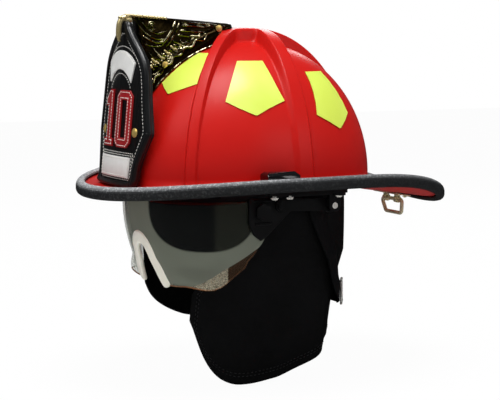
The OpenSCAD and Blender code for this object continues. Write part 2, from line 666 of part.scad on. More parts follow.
module nose_guard() {
    color("#e9e7df") difference() {
        intersection() {
            lens_band(1.8, lens_t + 4);
            front_prism() difference() {
                nose_arch(guard_inner_r + guard_w + 3, 36, lens_low_z + 7);
                nose_arch(guard_inner_r, 22, lens_low_z - 5);
            }
        }
        intersection() {
            lens_band(0.1, lens_t + 0.1);
            front_prism() difference() {
                square([200, 400], center = true);
                nose_arch(guard_inner_r + guard_w * 0.6 - 0.1, 27.9, lens_low_z - 5);
            }
        }
    }
}

// Impact cap and foam under the shell
function cap_point(a, e, in) = dome_point(a, e, cap_half_w - in, cap_front - in,
    cap_rear - in, cap_h - in, 2.2);
module dome_bowl(out, in, z_rim, steps) {
    rise_e = function (d) asin((z_rim) / (cap_h - d));
    row = function (e, d) [for (j = [0:31]) cap_point(360 * j / 32, e, d)];
    pole_skin([0, 0, cap_h - out],
        concat([for (i = [1:steps]) row(mix(90, rise_e(out), i / steps), out)],
            [for (i = [steps:-1:1]) row(mix(90, rise_e(in), i / steps), in)]),
        [0, 0, cap_h - in]);
}
module impact_cap() { color("#3c3f41") dome_bowl(0, cap_t, 0, 9); }
module impact_foam() { color("#d8d2c4") dome_bowl(cap_t + 2 * gap, cap_t + 2 * gap + foam_t, 10, 9); }
// Blocks that hold the cap in the shell, behind the space that the visor needs
module cap_mounts() {
    color("#26282a") for (a = [-142, 142, 180])
        plate_between(function (s, t) shell_point(a + 14 * (0.5 - s), mix(6, 16, t),
                -shell_t - 3),
            function (s, t) cap_point(a + 14 * (0.5 - s), mix(7, 18, t), -gap - 0.3), 3, 2);
}
// Crown straps: two webbing straps that cross over the head under the foam
strap_in = cap_t + foam_t + 2 * gap + 3.4;
crown_strap_t = 1.2;
crown_angles = [52, 308];
function across(a, p, q) = let (side = [cos(a), sin(a), 0] * crown_strap_w / 2)
    [p - side, q - side, q + side, p + side];
function crown_strap_ring(a, e, out) = across(a, cap_point(a, e, strap_in - out),
    cap_point(a, e, strap_in + crown_strap_t - out));
// Flat end of a strap, which runs in from the cap's wall under the foam and turns upwards
strap_end_up = 2.5;
function crown_strap_end(a, in, turned) = across(a, cap_point(a, 3, in) + [0, 0, strap_end_up],
    cap_point(a, 3, in + turned * crown_strap_t) + [0, 0, strap_end_up - crown_strap_t]);
// The first strap rises towards the foam and the second lies lower, so that they cross clear
function crown_strap_lift(k, e) = (crown_strap_t + 0.3) * (k == 0 ? pow(sin(e), 2) : -1);
module crown_straps() {
    wall_in = cap_t + 2.4;
    color("#202224") for (k = [0, 1]) let (a = crown_angles[k])
        loft(concat([crown_strap_end(a, wall_in, 0), crown_strap_end(a, strap_in, 1)],
            [for (e = [9:13.5:171])
                e < 90 ? crown_strap_ring(a, e, crown_strap_lift(k, e))
                    : reversed(crown_strap_ring(a + 180, 180 - e, crown_strap_lift(k, e)))],
            [reversed(crown_strap_end(a + 180, strap_in, 1)),
                reversed(crown_strap_end(a + 180, wall_in, 0))]));
}
module crown_pad() {
    in = strap_in + 2 * crown_strap_t + 1.5;
    row = function (e, d) [for (j = [0:23]) cap_point(15 * j, e, d)];
    color("#2a2c2e") pole_skin([0, 0, cap_h - in],
        [row(80, in), row(70, in), row(62, in + 0.8), row(60, in + 3.5), row(62, in + 6.2),
            row(70, in + 7), row(80, in + 7)], [0, 0, cap_h - in - 7]);
}

// Headband: an oval band, open at the rear where the racks bridge it
band_front_y = band_rear_y - band_straight;
band_mid_z = band_z + band_h / 2;
rack_r = band_r + band_t + gap;
rack_t = 1.4;
module headband() {
    r1 = band_r + band_t;
    color("#1d1f21") {
        arc_wall(band_r, r1, band_z, band_z + band_h, band_front_y, -90, 90);
        both_sides() {
            translate([band_r, band_front_y, band_z]) cube([band_t, band_straight, band_h]);
            arc_wall(band_r, r1, band_z, band_z + band_h, band_rear_y, 20, 20);
        }
    }
}
module suspension_clips() {
    r0 = band_r + band_t + 0.1;
    color("#2e3134") both_sides() {
        arc_wall(r0, r0 + 1, band_z + 8, band_z + band_h + 1, band_front_y, -38, 6);
        arc_wall(r0, r0 + 2.2, rack_high_z + rack_h + 0.6, band_z + band_h + 2, band_rear_y, 26, 6);
    }
}
// Curved pad with round edges, against radius r1, along an arc of the headband
module arc_pad(r0, r1, z0, z1, y, dir, half) {
    d = r1 - r0;
    translate([0, y, 0]) rotate([0, 0, dir - half]) rotate_extrude(angle = 2 * half, $fn = 96) {
        translate([r0, z0 + d / 2]) square([d, z1 - z0 - d]);
        for (z = [z0 + d / 2, z1 - d / 2]) translate([r0 + d / 2, z]) circle(d = d, $fn = 24);
    }
}
module brow_pad() {
    color("#3b2f28") arc_pad(band_r - 6, band_r - gap, band_z + 1, band_z + band_h - 1,
        band_front_y, -90, 64);
}
module nape_pad() {
    color("#3b2f28") arc_pad(band_r - 5.5, band_r + 0.1, band_z + 3, band_z + band_h - 3,
        band_rear_y, 90, 36);
}
// Racks: one above and one below the pinion
rack_high_z = band_mid_z + pinion_r + 0.3;
rack_low_z = band_mid_z - pinion_r - 0.3 - rack_h;
module rack_left() {
    color("#111213") arc_wall(rack_r, rack_r + rack_t, rack_high_z, rack_high_z + rack_h,
        band_rear_y, 59, 39);
}
module rack_right() {
    color("#111213") arc_wall(rack_r, rack_r + rack_t, rack_low_z, rack_low_z + rack_h,
        band_rear_y, 121, 39);
}
housing_half = 22;
housing_r1 = rack_r + rack_t + 4.2;
module ratchet_housing() {
    color("#17181a") difference() {
        arc_wall(band_r + 0.4, housing_r1, band_z, band_z + band_h, band_rear_y, 90,
            housing_half);
        arc_wall(rack_r - gap, rack_r + rack_t + gap, rack_low_z - gap,
            rack_high_z + rack_h + gap, band_rear_y, 90, housing_half + 2);
        translate([0, band_rear_y + rack_r, band_mid_z]) rotate([-90, 0, 0])
            cylinder(h = 10, d = 6.1);
    }
}
module ratchet_knob() {
    color("#1f2123") translate([0, band_rear_y, band_mid_z]) rotate([-90, 0, 0]) {
        translate([0, 0, rack_r - 0.15]) cylinder(h = rack_t + 0.3, r = pinion_r);
        translate([0, 0, rack_r + rack_t]) cylinder(h = housing_r1 - rack_r, d = 6);
        translate([0, 0, housing_r1 + 0.5]) difference() {
            union() {
                cylinder(h = 5.4, r = knob_r);
                translate([0, 0, 5.4]) cylinder(h = 1.6, r1 = knob_r, r2 = knob_r - 1.6);
            }
            for (k = [0:11]) rotate([0, 0, 30 * k]) translate([knob_r + 1.6, 0, -1])
                cylinder(h = 14, r = 3.2);
        }
    }
}

// Neck protector: a lined cloth curtain that hangs from the headband round the neck.
// Half width, rear reach and spread of the curtain by level
cloth_half_w = [[-210, 57], [-150, 64], [-110, 74], [-75, 83], [-28, 86], [0, 86]];
cloth_rear = [[-210, 80], [-150, 87], [-110, 92], [-75, 101], [-28, 100], [0, 99]];
cloth_spread = [[-210, 152], [-110, 150], [-75, 130], [-50, 110], [-30, 96], [-10, 87]];
cloth_front = 96;
cloth_mid_y = 5;
// Level of the hem at share s, from the far front edge at -1 to the near front edge at 1
cloth_hem = [[-1, cloth_rear_z + 42], [-0.94, cloth_rear_z + 28], [-0.87, cloth_rear_z + 16],
    [-0.76, cloth_rear_z + 9], [-0.5, cloth_rear_z + 4], [0, cloth_rear_z],
    [0.2, mix(cloth_rear_z, cloth_low_z, 0.25)], [0.35, mix(cloth_rear_z, cloth_low_z, 0.5)],
    [0.5, mix(cloth_rear_z, cloth_low_z, 0.75)], [0.64, mix(cloth_rear_z, cloth_low_z, 0.95)],
    [0.73, cloth_low_z], [0.82, cloth_low_z + 6], [0.9, cloth_low_z + 24],
    [0.96, cloth_low_z + 44], [1, cloth_low_z + 68]];
function cloth_place(u, z, out) = let (
        hw = lookup(z, cloth_half_w) + out, back = lookup(z, cloth_rear) - cloth_mid_y + out,
        c = cos(u), reach = c > 0 ? back : cloth_front + out)
    [hw * spow(sin(u), 0.83), cloth_mid_y + reach * spow(c, 0.83), z];
function cloth_fold(s, t) = t * (1 - 0.6 * abs(s)) * 3.2 * sin(1150 * s + 30)
    + 1.2 * t * sin(500 * s);
function cloth_point(s, t, in) = let (
        top = mix(-29.5, -14, ease(0.24, 0.42, abs(s))), z = mix(top, lookup(s, cloth_hem), t))
    cloth_place(s * lookup(z, cloth_spread), z, cloth_fold(s, t) - in);
module neck_protector() {
    rows = 12;
    color("#17181a") loft([for (i = [0:43]) let (s = mix(-1, 1, i / 43)) concat(
        [for (j = [0:rows]) cloth_point(s, j / rows, 0)],
        [for (j = [rows:-1:0]) cloth_point(s, j / rows, cloth_t)])]);
}
// Tabs that hold the cloth to the headband
module neck_tabs() {
    color("#0f1011") both_sides() {
        r0 = rack_r + rack_t + gap;
        arc_wall(r0, r0 + 1, band_z - 14, band_z + 22, band_rear_y, 46, 9);
        translate([band_r + band_t + 0.2, -4, band_z - 8]) cube([1.8, 14, 22]);
    }
}

// Chin strap: runs down the back edge of the cloth and round behind the neck, buckled.
// Angle round the cloth, level and distance outside it along the strap
strap_route = [[80, -2.5, 2.6], [78, -20, 2.6], [72, -45, 3], [62, -75, 3.5], [48, -106, 5.5],
    [31, -119, 6], [20, -124, 5.5]];
function strap_at(t) = let (i = min(len(strap_route) - 2, floor(t)), f = t - i,
        a = strap_route[max(0, i - 1)], b = strap_route[i], c = strap_route[i + 1],
        d = strap_route[min(len(strap_route) - 1, i + 2)])
    0.5 * (2 * b + (c - a) * f + (2 * a - 5 * b + 4 * c - d) * f * f
        + (3 * b - a - 3 * c + d) * f * f * f);
function strap_place(t, out) = let (q = strap_at(t)) cloth_place(q[0], q[1], q[2] + out);
function strap_out(t) = let (p = strap_place(t, 0)) unit([p[0], p[1] - cloth_mid_y, 0]);
function strap_along(t) = let (h = min(0.05, max(-0.05, len(strap_route) - 1.06 - t)))
    unit(strap_place(t + h, 0) - strap_place(t, 0)) * (h < 0 ? -1 : 1);
function strap_ring(t, w, thick, out) = let (n = strap_out(t),
        side = unit(cross(n, strap_along(t))) * w / 2, p = strap_place(t, 0) + n * out)
    [p - side + n * thick / 2, p + side + n * thick / 2, p + side - n * thick / 2,
        p - side - n * thick / 2];
module chin_strap() {
    last = len(strap_route) - 1;
    color("#0d0d0e") both_sides()
        loft([for (i = [0:18]) strap_ring(last * i / 18 * 0.999, strap_w, strap_t, 0)]);
}
module strap_anchors() {
    p = strap_place(0, 0);
    color("#1a1b1d") both_sides()
        translate([cap_half_w - 0.6, p[1] - 11, -gap]) cube([5.4, 22, 8]);
}
// Metal slide on the near strap: a wire frame with a middle bar
module strap_slide() {
    t = 5;
    n = strap_out(t);
    a = strap_along(t);
    b = unit(cross(n, a));
    p = strap_place(t, 0) + n * (strap_t / 2 + 1.6);
    w = strap_w / 2 + 1.6;
    reach = 6.5;
    color("#b9b9b4") multmatrix([[b[0], a[0], n[0], p[0]], [b[1], a[1], n[1], p[1]],
        [b[2], a[2], n[2], p[2]], [0, 0, 0, 1]]) {
        for (y = [-reach, 0, reach]) translate([-w, y, 0]) rotate([0, 90, 0])
            cylinder(h = 2 * w, d = 2.4, $fn = 12);
        for (x = [-w, w]) translate([x, -reach - 1.2, 0]) rotate([-90, 0, 0])
            cylinder(h = 2 * reach + 2.4, d = 2.6, $fn = 12);
    }
}
buckle_z = -123;
module buckle_place() {
    translate([0, cloth_place(0, buckle_z, 7)[1], buckle_z]) children();
}
module buckle_socket() {
    color("#111213") buckle_place() difference() {
        translate([-27, -4, -12.5]) cube([26, 8, 25]);
        translate([-20, -2.6, -10]) cube([22, 5.2, 20]);
    }
}
module buckle_plug() {
    color("#151617") buckle_place() {
        translate([-0.7, -2.4, -11]) cube([24, 4.8, 22]);
        for (z = [-9.4, -2.5, 4.4]) translate([-17, -2, z]) cube([16.4, 4, 5]);
    }
}

// Hanger: a plate with two eyes under the rear brim, and the ring that hangs from it
hanger_y = 176;
hanger_z = brim_top_z(180, hanger_y) - shell_t;
ring_z = hanger_z - 1.8 - ring_wire / 2 - 3;
eye_x = ring_half_w - 9.5;
module hanger_plate() {
    color("#a98f56") {
        difference() {
            translate([0, hanger_y, hanger_z - 2.1]) rotate([-9, 0, 0])
                translate([-ring_half_w - 4, -8, 0]) cube([2 * ring_half_w + 8, 16, 1.4]);
            for (x = [-1, 1]) translate([x * (ring_half_w - 1), hanger_y + 4, hanger_z - 8])
                cylinder(h = 10, d = 3.3);
        }
        for (x = [-eye_x, eye_x]) difference() {
            union() {
                x_cylinder(x - 3, x + 3, ring_wire + 3.2, hanger_y, ring_z);
                translate([x - 3, hanger_y - 2, ring_z]) cube([6, 4, hanger_z - ring_z - 1.2]);
            }
            x_cylinder(x - 4, x + 4, ring_wire + 0.2, hanger_y, ring_z);
        }
    }
}
module hanger_rivets() {
    color("#b89d62") for (x = [-1, 1])
        translate([x * (ring_half_w - 1), hanger_y + 4, hanger_z - 3.6]) {
            cylinder(h = 2.6, d = 3);
            intersection() {
                translate([0, 0, 2.2]) sphere(d = 6.4);
                translate([-4, -4, -1.4]) cube([8, 8, 1.7]);
            }
        }
}
// Points of a closed line through corners in x and z, each rounded to the radius bend
bend_steps = 5;
function rounded_loop(corners, bend) = flat2([for (i = [0:len(corners) - 1]) let (
        n = len(corners), in = unit(corners[(i + n - 1) % n] - corners[i]),
        out = unit(corners[(i + 1) % n] - corners[i]), half = acos(in * out) / 2,
        mid = corners[i] + unit(in + out) * bend / sin(half),
        start = corners[i] + in * bend / tan(half) - mid)
    [for (k = [0:bend_steps]) let (q = (180 - 2 * half) * k / bend_steps)
        mid + [start[0] * cos(q) + start[1] * sin(q), start[1] * cos(q) - start[0] * sin(q)]]]);
// Ring of bent wire round a closed line in x and z
wire_sides = 16;
module wire_loop(line, d) {
    n = len(line);
    ring_loft([for (i = [0:n - 1]) let (a = line[(i + n - 1) % n], b = line[(i + 1) % n],
            t = unit(b - a))
        [for (j = [0:wire_sides - 1]) let (u = 360 * j / wire_sides)
            [line[i][0] + d / 2 * cos(u) * t[1], -d / 2 * sin(u),
                line[i][1] - d / 2 * cos(u) * t[0]]]]);
}
module hanger_ring() {
    color("#b49a58") translate([0, hanger_y, ring_z]) wire_loop(rounded_loop(
        [[-ring_half_w, 0], [ring_half_w, 0], [ring_half_w - 1, -ring_drop],
            [-ring_half_w + 9, -ring_drop]], 3.4), ring_wire);
}

outer_shell();
edge_trim();
leather_front();
front_backing();
top_banner();
bottom_banner();
front_number();
front_screws();
front_brackets();
eagle_holder();
eagle_screws();
reflective_panels();
brim_blocks();
side_rails();
rail_screws();
pivot_pins();
visor_arms();
visor_carriers();
release_grips();
visor_lens();
nose_guard();
impact_cap();
cap_mounts();
impact_foam();
crown_straps();
crown_pad();
headband();
suspension_clips();
brow_pad();
rack_left();
rack_right();
ratchet_housing();
ratchet_knob();
nape_pad();
neck_protector();
neck_tabs();
chin_strap();
strap_anchors();
strap_slide();
buckle_socket();
buckle_plug();
hanger_plate();
hanger_rivets();
hanger_ring();
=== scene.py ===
"""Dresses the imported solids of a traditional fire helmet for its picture."""
import math

import bmesh
import bpy
import numpy as np
from mathutils import Matrix, Vector


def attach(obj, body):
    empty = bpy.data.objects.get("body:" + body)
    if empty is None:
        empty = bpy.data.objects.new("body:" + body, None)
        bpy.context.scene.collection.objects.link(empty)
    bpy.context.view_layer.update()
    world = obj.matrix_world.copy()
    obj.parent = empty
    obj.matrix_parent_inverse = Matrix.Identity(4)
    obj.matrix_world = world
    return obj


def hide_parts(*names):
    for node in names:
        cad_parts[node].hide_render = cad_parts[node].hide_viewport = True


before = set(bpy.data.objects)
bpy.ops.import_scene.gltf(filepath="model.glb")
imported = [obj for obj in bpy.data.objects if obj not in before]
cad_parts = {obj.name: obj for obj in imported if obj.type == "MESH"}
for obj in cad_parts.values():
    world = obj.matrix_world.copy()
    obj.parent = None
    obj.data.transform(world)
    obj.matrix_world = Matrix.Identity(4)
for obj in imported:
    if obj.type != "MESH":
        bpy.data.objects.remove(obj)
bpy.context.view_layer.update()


# Shell: one moulded composite piece, a dome with five ribs and a raised crown that runs out
# into the brim, painted in glossy red. All sizes in this file's sections are in millimetres.
class Amount:
    """A number that varies over a surface: a node's socket that takes part in sums."""

    def __init__(self, finish, socket):
        self.finish, self.socket = finish, socket

    def __add__(self, other):
        return self.finish.maths("ADD", self, other)

    def __sub__(self, other):
        return self.finish.maths("SUBTRACT", self, other)

    def __rsub__(self, other):
        return self.finish.maths("SUBTRACT", other, self)

    def __mul__(self, other):
        return self.finish.maths("MULTIPLY", self, other)

    __radd__, __rmul__ = __add__, __mul__


def paint(code):
    """The shader's linear colour for a written one such as #c8191b."""
    parts = [int(code[i:i + 2], 16) / 255 for i in (1, 3, 5)]
    return [p / 12.92 if p < 0.04045 else ((p + 0.055) / 1.055) ** 2.4 for p in parts] + [1]


class Finish:
    """A material with one principled shader, whose sockets are set by name."""

    def __init__(self, name, colour, rough, metal=0.0, coat=0.0, **constants):
        self.material = bpy.data.materials.new(name)
        self.material.use_nodes = True
        self.tree = self.material.node_tree
        self.shader = self.tree.nodes["Principled BSDF"]
        self.feed("Base Color", paint(colour))
        self.feed("Roughness", rough)
        self.feed("Metallic", metal)
        self.feed("Coat Weight", coat)
        for socket, value in constants.items():
            self.feed(socket.replace("_", " "), value)
        self.place = self.node("TexCoord").outputs["Object"]

    def feed(self, socket, value, target=None):
        """Sets a socket of the shader, or of another node, or links a varying value to it."""
        target = (target or self.shader).inputs[socket]
        if isinstance(value, Amount):
            self.tree.links.new(value.socket, target)
        elif isinstance(value, bpy.types.NodeSocket):
            self.tree.links.new(value, target)
        else:
            target.default_value = value

    def node(self, kind, settings=None, sockets=None):
        """Adds a shader node; a setting called stops holds a colour ramp's places and levels."""
        made = self.tree.nodes.new("ShaderNode" + kind)
        for key, value in (settings or {}).items():
            if key == "stops":
                ramp = made.color_ramp
                while len(ramp.elements) < len(value):
                    ramp.elements.new(0.5)
                for stop, (at, level) in zip(ramp.elements, value):
                    stop.position, stop.color = at, [level] * 3 + [1]
            else:
                setattr(made, key, value)
        for key, value in (sockets or {}).items():
            self.feed(key, value, made)
        return made

    def maths(self, operation, *values):
        made = self.node("Math", {"operation": operation}, dict(enumerate(values)))
        return Amount(self, made.outputs[0])

    def noise(self, scale, detail=3.0, rough=0.5):
        made = self.node("TexNoise", sockets={"Vector": self.place, "Scale": scale,
                                              "Detail": detail, "Roughness": rough})
        return Amount(self, made.outputs[0])

    def cells(self, scale, feature="F1", spread=1.0):
        made = self.node("TexVoronoi", {"feature": feature},
                         {"Vector": self.place, "Scale": scale, "Randomness": spread})
        return Amount(self, made.outputs["Distance"])

    def ramp(self, value, *stops):
        """Levels set at places of a value from 0 to 1, with straight runs between them."""
        return Amount(self, self.node("ValToRGB", {"stops": stops}, {0: value}).outputs[0])

    def part(self, vector, axis):
        split = self.node("SeparateXYZ", sockets={0: vector})
        return Amount(self, split.outputs[axis])

    def at(self, axis):
        """Place along an axis, in millimetres."""
        return self.part(self.place, axis) * 1000

    def facing(self, axis):
        """How far the surface faces along an axis, from -1 to 1."""
        return self.part(self.node("NewGeometry").outputs["True Normal"], axis)

    def blend(self, share, low, high):
        """A colour between two, written or from a node, by a share."""
        ends = [paint(c) if isinstance(c, str) else c for c in (low, high)]
        made = self.node("Mix", {"data_type": "RGBA"}, {0: share, 6: ends[0], 7: ends[1]})
        return made.outputs[2]

    def mottle(self, scale, detail, low, high):
        """Colours the surface between two colours, in soft patches."""
        self.feed("Base Color", self.blend(self.noise(scale, detail), low, high))

    def relief(self, height, depth):
        """Bumps the surface by a height of 0 to 1 times depth, in millimetres."""
        made = self.node("Bump", sockets={"Height": height, "Distance": depth / 1000,
                                          "Strength": 1.0})
        self.feed("Normal", made.outputs[0])


def spow(v, p):
    """Power that keeps a number's sign."""
    return np.sign(v) * np.abs(v) ** p


def ease(a, b, v):
    """Rises smoothly from 0 at a to 1 at b."""
    t = np.clip((v - a) / (b - a), 0, 1)
    return t * t * (3 - 2 * t)


def mix(a, b, t):
    return a + (b - a) * t


def table(rows, v):
    """Value of a table of pairs at v, with straight runs between them."""
    rows = sorted(rows)
    return np.interp(v, [r[0] for r in rows], [r[1] for r in rows])


def add_object(name, data):
    piece = bpy.data.objects.new(name, data)
    bpy.context.collection.objects.link(piece)
    return piece


def skin(name, grid, ring=True, poles=False, wall=0.0):
    """A mesh object from rows of points in millimetres; poles closes both ends, ring joins each
    row's ends, and wall is the thickness of a sheet."""
    rows, cols = grid.shape[:2]
    points = [tuple(p) for p in (grid.reshape(-1, 3) / 1000)]
    reach = cols if ring else cols - 1
    faces = [(i * cols + j, i * cols + (j + 1) % cols, (i + 1) * cols + (j + 1) % cols,
              (i + 1) * cols + j) for i in range(rows - 1) for j in range(reach)]
    if poles:
        for row, flip in ((0, True), (rows - 1, False)):
            points.append(tuple(grid[row].mean(axis=0) / 1000))
            for j in range(cols):
                edge = (row * cols + j, row * cols + (j + 1) % cols)
                faces.append((*(edge[::-1] if flip else edge), len(points) - 1))
    mesh = bpy.data.meshes.new(name)
    mesh.from_pydata(points, [], faces)
    piece = add_object(name, mesh)
    if wall:
        hold = piece.modifiers.new("wall", "SOLIDIFY")
        hold.thickness, hold.offset = wall / 1000, 0
        apply_modifiers(piece)
    tidy(piece)
    return piece


def pick(*pieces):
    bpy.ops.object.select_all(action="DESELECT")
    for piece in pieces:
        piece.select_set(True)
    bpy.context.view_layer.objects.active = pieces[0]


def apply_modifiers(piece):
    pick(piece)
    for step in list(piece.modifiers):
        bpy.ops.object.modifier_apply(modifier=step.name)


def tidy(piece, angle=None, near=1e-6):
    """Merges points that are near each other, in metres, turns the faces outwards, and shades
    them smooth, or smooth below an angle in degrees."""
    work = bmesh.new()
    work.from_mesh(piece.data)
    bmesh.ops.remove_doubles(work, verts=work.verts, dist=near)
    bmesh.ops.recalc_face_normals(work, faces=work.faces)
    work.to_mesh(piece.data)
    work.free()
    pick(piece)
    if angle is None:
        bpy.ops.object.shade_smooth()
    else:
        bpy.ops.object.shade_smooth_by_angle(angle=math.radians(angle))


def refine(piece):
    fine = piece.modifiers.new("fine", "SUBSURF")
    fine.levels = fine.render_levels = 1


def finish_piece(piece, finish, body="helmet", nodes=()):
    """Gives a piece its finish, slot and body, and the CAD nodes that it stands for."""
    piece.data.materials.clear()
    piece.data.materials.append(finish.material)
    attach(piece, body)
    if nodes:
        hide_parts(*nodes)


dome_half_w, dome_front, dome_rear, dome_h, dome_square = 106.0, 131.0, 123.0, 132.0, 2.45
shell_t, mean_r, edge_in = 3.2, 118.5, 2.5
brim_half_w, brim_front, brim_rear = 142, 168.5, 219
join_side_z, join_front_dip, join_rear_dip = -1, 6, 17
edge_side_z, edge_front_dip, edge_rear_dip = 2.5, 12, 33
rib_w, rib_side, rib_rise, comb_rise, crown_r, crown_half_l = 9.6, 2.7, 3.0, 13.0, 13.0, 11
rib_starts = [((11, -21), 47), ((12, 15), 93.5)]


def dome(a, e, out=0.0):
    """Point of the dome at angle a round it from the front and height angle e, in degrees."""
    a, e = np.radians(a), np.radians(e)
    reach = np.where(np.cos(a) > 0, dome_front * np.cos(e), dome_rear * np.cos(e) ** 0.9)
    p = np.stack([dome_half_w * np.cos(e) * spow(np.sin(a), 2 / dome_square),
                  -reach * spow(np.cos(a), 2 / dome_square), dome_h * np.sin(e) + 0 * a], -1)
    n = p / np.stack([0 * a + dome_half_w ** 2,
                      np.where(p[..., 1] < 0, dome_front, dome_rear) ** 2, 0 * a + dome_h ** 2], -1)
    n /= np.linalg.norm(n, axis=-1, keepdims=True)
    return p + n * np.asarray(out)[..., None]


def rib_angles(e):
    """Angles round the dome of its six ribs at height angle e. The side ribs run straight in
    plan, each from its place on the crown to its angle at the brim."""
    a = np.linspace(0, 180, 721)
    p = dome(a, np.full_like(a, e))
    found = []
    for (x, y), base in rib_starts:
        to = dome(np.array([base]), np.array([0.0]))[0]
        past = (p[:, 0] - x) * (to[1] - y) - (p[:, 1] - y) * (to[0] - x) < 0
        found.append(min(a[np.argmax(past)] if past.any() else 150, 150))
    return np.array([0, *found, 180, 360 - found[1], 360 - found[0], 360])


def dome_row(e, out, ribbed):
    """Angles and points of one level of the dome, closest together at the ribs' sides."""
    r = mean_r * math.cos(math.radians(e))
    rib_at = rib_angles(e)
    half = rib_w / 2 * mix(1.15, 1, ease(crown_r, 62, r))
    near = np.array([0, 0.3 * half, *(half + np.linspace(-1.2, 3.4, 13)), half + 4.4, half + 6,
                     half + 9])
    angles = []
    for a0, a1 in zip(rib_at, rib_at[1:]):
        span = a1 - a0
        most = r * math.sin(math.radians(span / 2))
        edge = np.degrees(np.arcsin(near * min(1, 0.8 * most / near[-1]) / r))
        middle = np.linspace(edge[-1], span - edge[-1], 14)[1:-1]
        angles.append(a0 + np.concatenate([edge, middle, span - edge[:0:-1]]))
    a = np.concatenate(angles)
    apart = np.abs((a[:, None] - rib_at[:6] + 180) % 360 - 180)
    d = np.where(apart < 90, r * np.sin(np.radians(np.minimum(apart, 90))), r)
    round_by = mix(3, 0.8, ease(crown_r, 46, r))
    d = -round_by * np.log(np.exp(-d / round_by).sum(axis=1))
    share = 1 - ease(half - 0.4, half + rib_side, d)
    base = dome(a, np.full_like(a, e))
    past = base[:, 1] - np.clip(base[:, 1], -crown_half_l, crown_half_l)
    crown = 1 - ease(crown_r - 3.5, crown_r + 2, np.hypot(base[:, 0], past))
    rise = mix(rib_rise, comb_rise, max(0, math.sin(math.radians(e))) ** 4)
    raised = rise * (1 - (1 - share) * (1 - crown)) if ribbed else 0 * a
    return a, dome(a, np.full_like(a, e), out + raised)


def join_z(a):
    """Level at which the dome meets the brim."""
    c = np.cos(np.radians(a))
    return (join_side_z - join_front_dip * np.maximum(0, c) ** 2
            - join_rear_dip * np.maximum(0, -c) ** 3)


def edge_point(a, d=0.0):
    """Point on the brim's edge at angle a, and d inwards from it in plan."""
    s, c = np.sin(np.radians(a)), np.cos(np.radians(a))
    z = (edge_side_z - edge_front_dip * np.maximum(0, c) ** 2
         - edge_rear_dip * np.maximum(0, -c) ** 3.4)
    power = np.where(c > 0, 0.97, 0.94)
    return np.stack([(brim_half_w - d) * spow(s, power),
                     -(np.where(c > 0, brim_front, brim_rear) - d) * spow(c, power), z + 0 * a], -1)


def brim_row(t, out):
    """Points of the brim at share t of the way from the dome to its edge."""
    a, base = dome_row(0, min(out, 0), out == 0)
    row = mix(base, edge_point(a, edge_in), t)
    row[:, 2] = mix(join_z(a), edge_point(a)[:, 2], t ** 1.3) + 3 * (1 - t) ** 8 + out
    return row


high = [math.degrees(math.acos(r / mean_r)) for r in (
    1, 2.5, 4.5, 7, 9, 10, 11, 12, 13, 14, 15, 16, 17.5, 19, 21, 23, 25.5, 28, 31, 34, 38, 42, 46.5,
    51, 56, 61)]
rows = [dome_row(e, 0, True)[1] for e in high + list(np.arange(57, 1, -2.2))]
rows += [brim_row(t, 0) for t in (0, 0.015, 0.03, 0.05, 0.08, 0.12, 0.17, 0.23, 0.3, 0.38, 0.46,
                                  0.54, 0.62, 0.7, 0.78, 0.86, 0.93, 1)]
rows += [brim_row(t, -shell_t) for t in (1, 0.9, 0.8, 0.7, 0.55, 0.4, 0.28, 0.16, 0.08, 0.03)]
rows += [dome_row(e, -shell_t, False)[1] for e in (3, 8, 14, 20, 27, 34, 41, 48, 55, 62, 69, 76,
                                                   82, 87)]
shell = skin("shell_skin", np.array(rows), poles=True)
gloss_red = Finish("gloss_red_paint", "#c0140e", 0.42, coat=0.1, Coat_Roughness=0.3,
                   Specular_IOR_Level=0.13)
# Painted shade: the red is darker low on the dome, most just above the brim and fading out higher
# up; elsewhere it varies at random.
painted_low_shade = gloss_red.ramp(gloss_red.at("Z") * 0.01, (0.02, 0), (0.08, 0.35), (0.7, 0))
shade = gloss_red.noise(9, 2) * (1 - painted_low_shade) + painted_low_shade * -0.4
gloss_red.feed("Base Color", gloss_red.blend(shade, "#b3120d", "#c31912"))
gloss_red.feed("Roughness", gloss_red.noise(60, 4) * 0.14 + 0.32)
gloss_red.relief(gloss_red.noise(170, 3) * 0.7 + gloss_red.noise(600, 2) * 0.3, 0.12)
finish_piece(shell, gloss_red, nodes=["outer_shell"])


# Edge trim: an extruded rubber channel pushed over the brim's edge, with a grained skin and a
# speckled upper lip painted paler where it faces up, as painted light from above, paler towards the
# front.
trim_line = np.array([[0, 1.64], [0.4, 3.3], [1.1, 4.7], [2.2, 5.9], [3.8, 6.6], [5.6, 6.7],
                      [7.2, 6.3], [8.4, 5.2], [9, 3.8], [9, 2.25], [2.2, 2.25], [2.2, -2.25],
                      [9, -2.25], [9, -4.1], [8.3, -5.2], [7.2, -6], [5.4, -6.15], [3.8, -6.1],
                      [2.2, -5.6], [1.1, -4.6], [0.4, -3.4], [0, -1.9]])
turn = np.arange(0, 360, 1.5)
slope = 1.3 * (join_z(turn) - edge_point(turn)[:, 2]) / np.linalg.norm(
    dome(turn, 0 * turn)[:, :2] - edge_point(turn, edge_in)[:, :2], axis=1)
rows = []
for inwards, level in trim_line:
    row = edge_point(turn, inwards)
    row[:, 2] += level - shell_t / 2 + slope * (inwards - edge_in)
    rows.append(row)
trim = skin("trim_channel", np.array(rows + rows[:1]))
rubber = Finish("grained_black_rubber", "#1d1e20", 0.7, Specular_IOR_Level=0.2)
grain = rubber.noise(430, 4, 0.7)
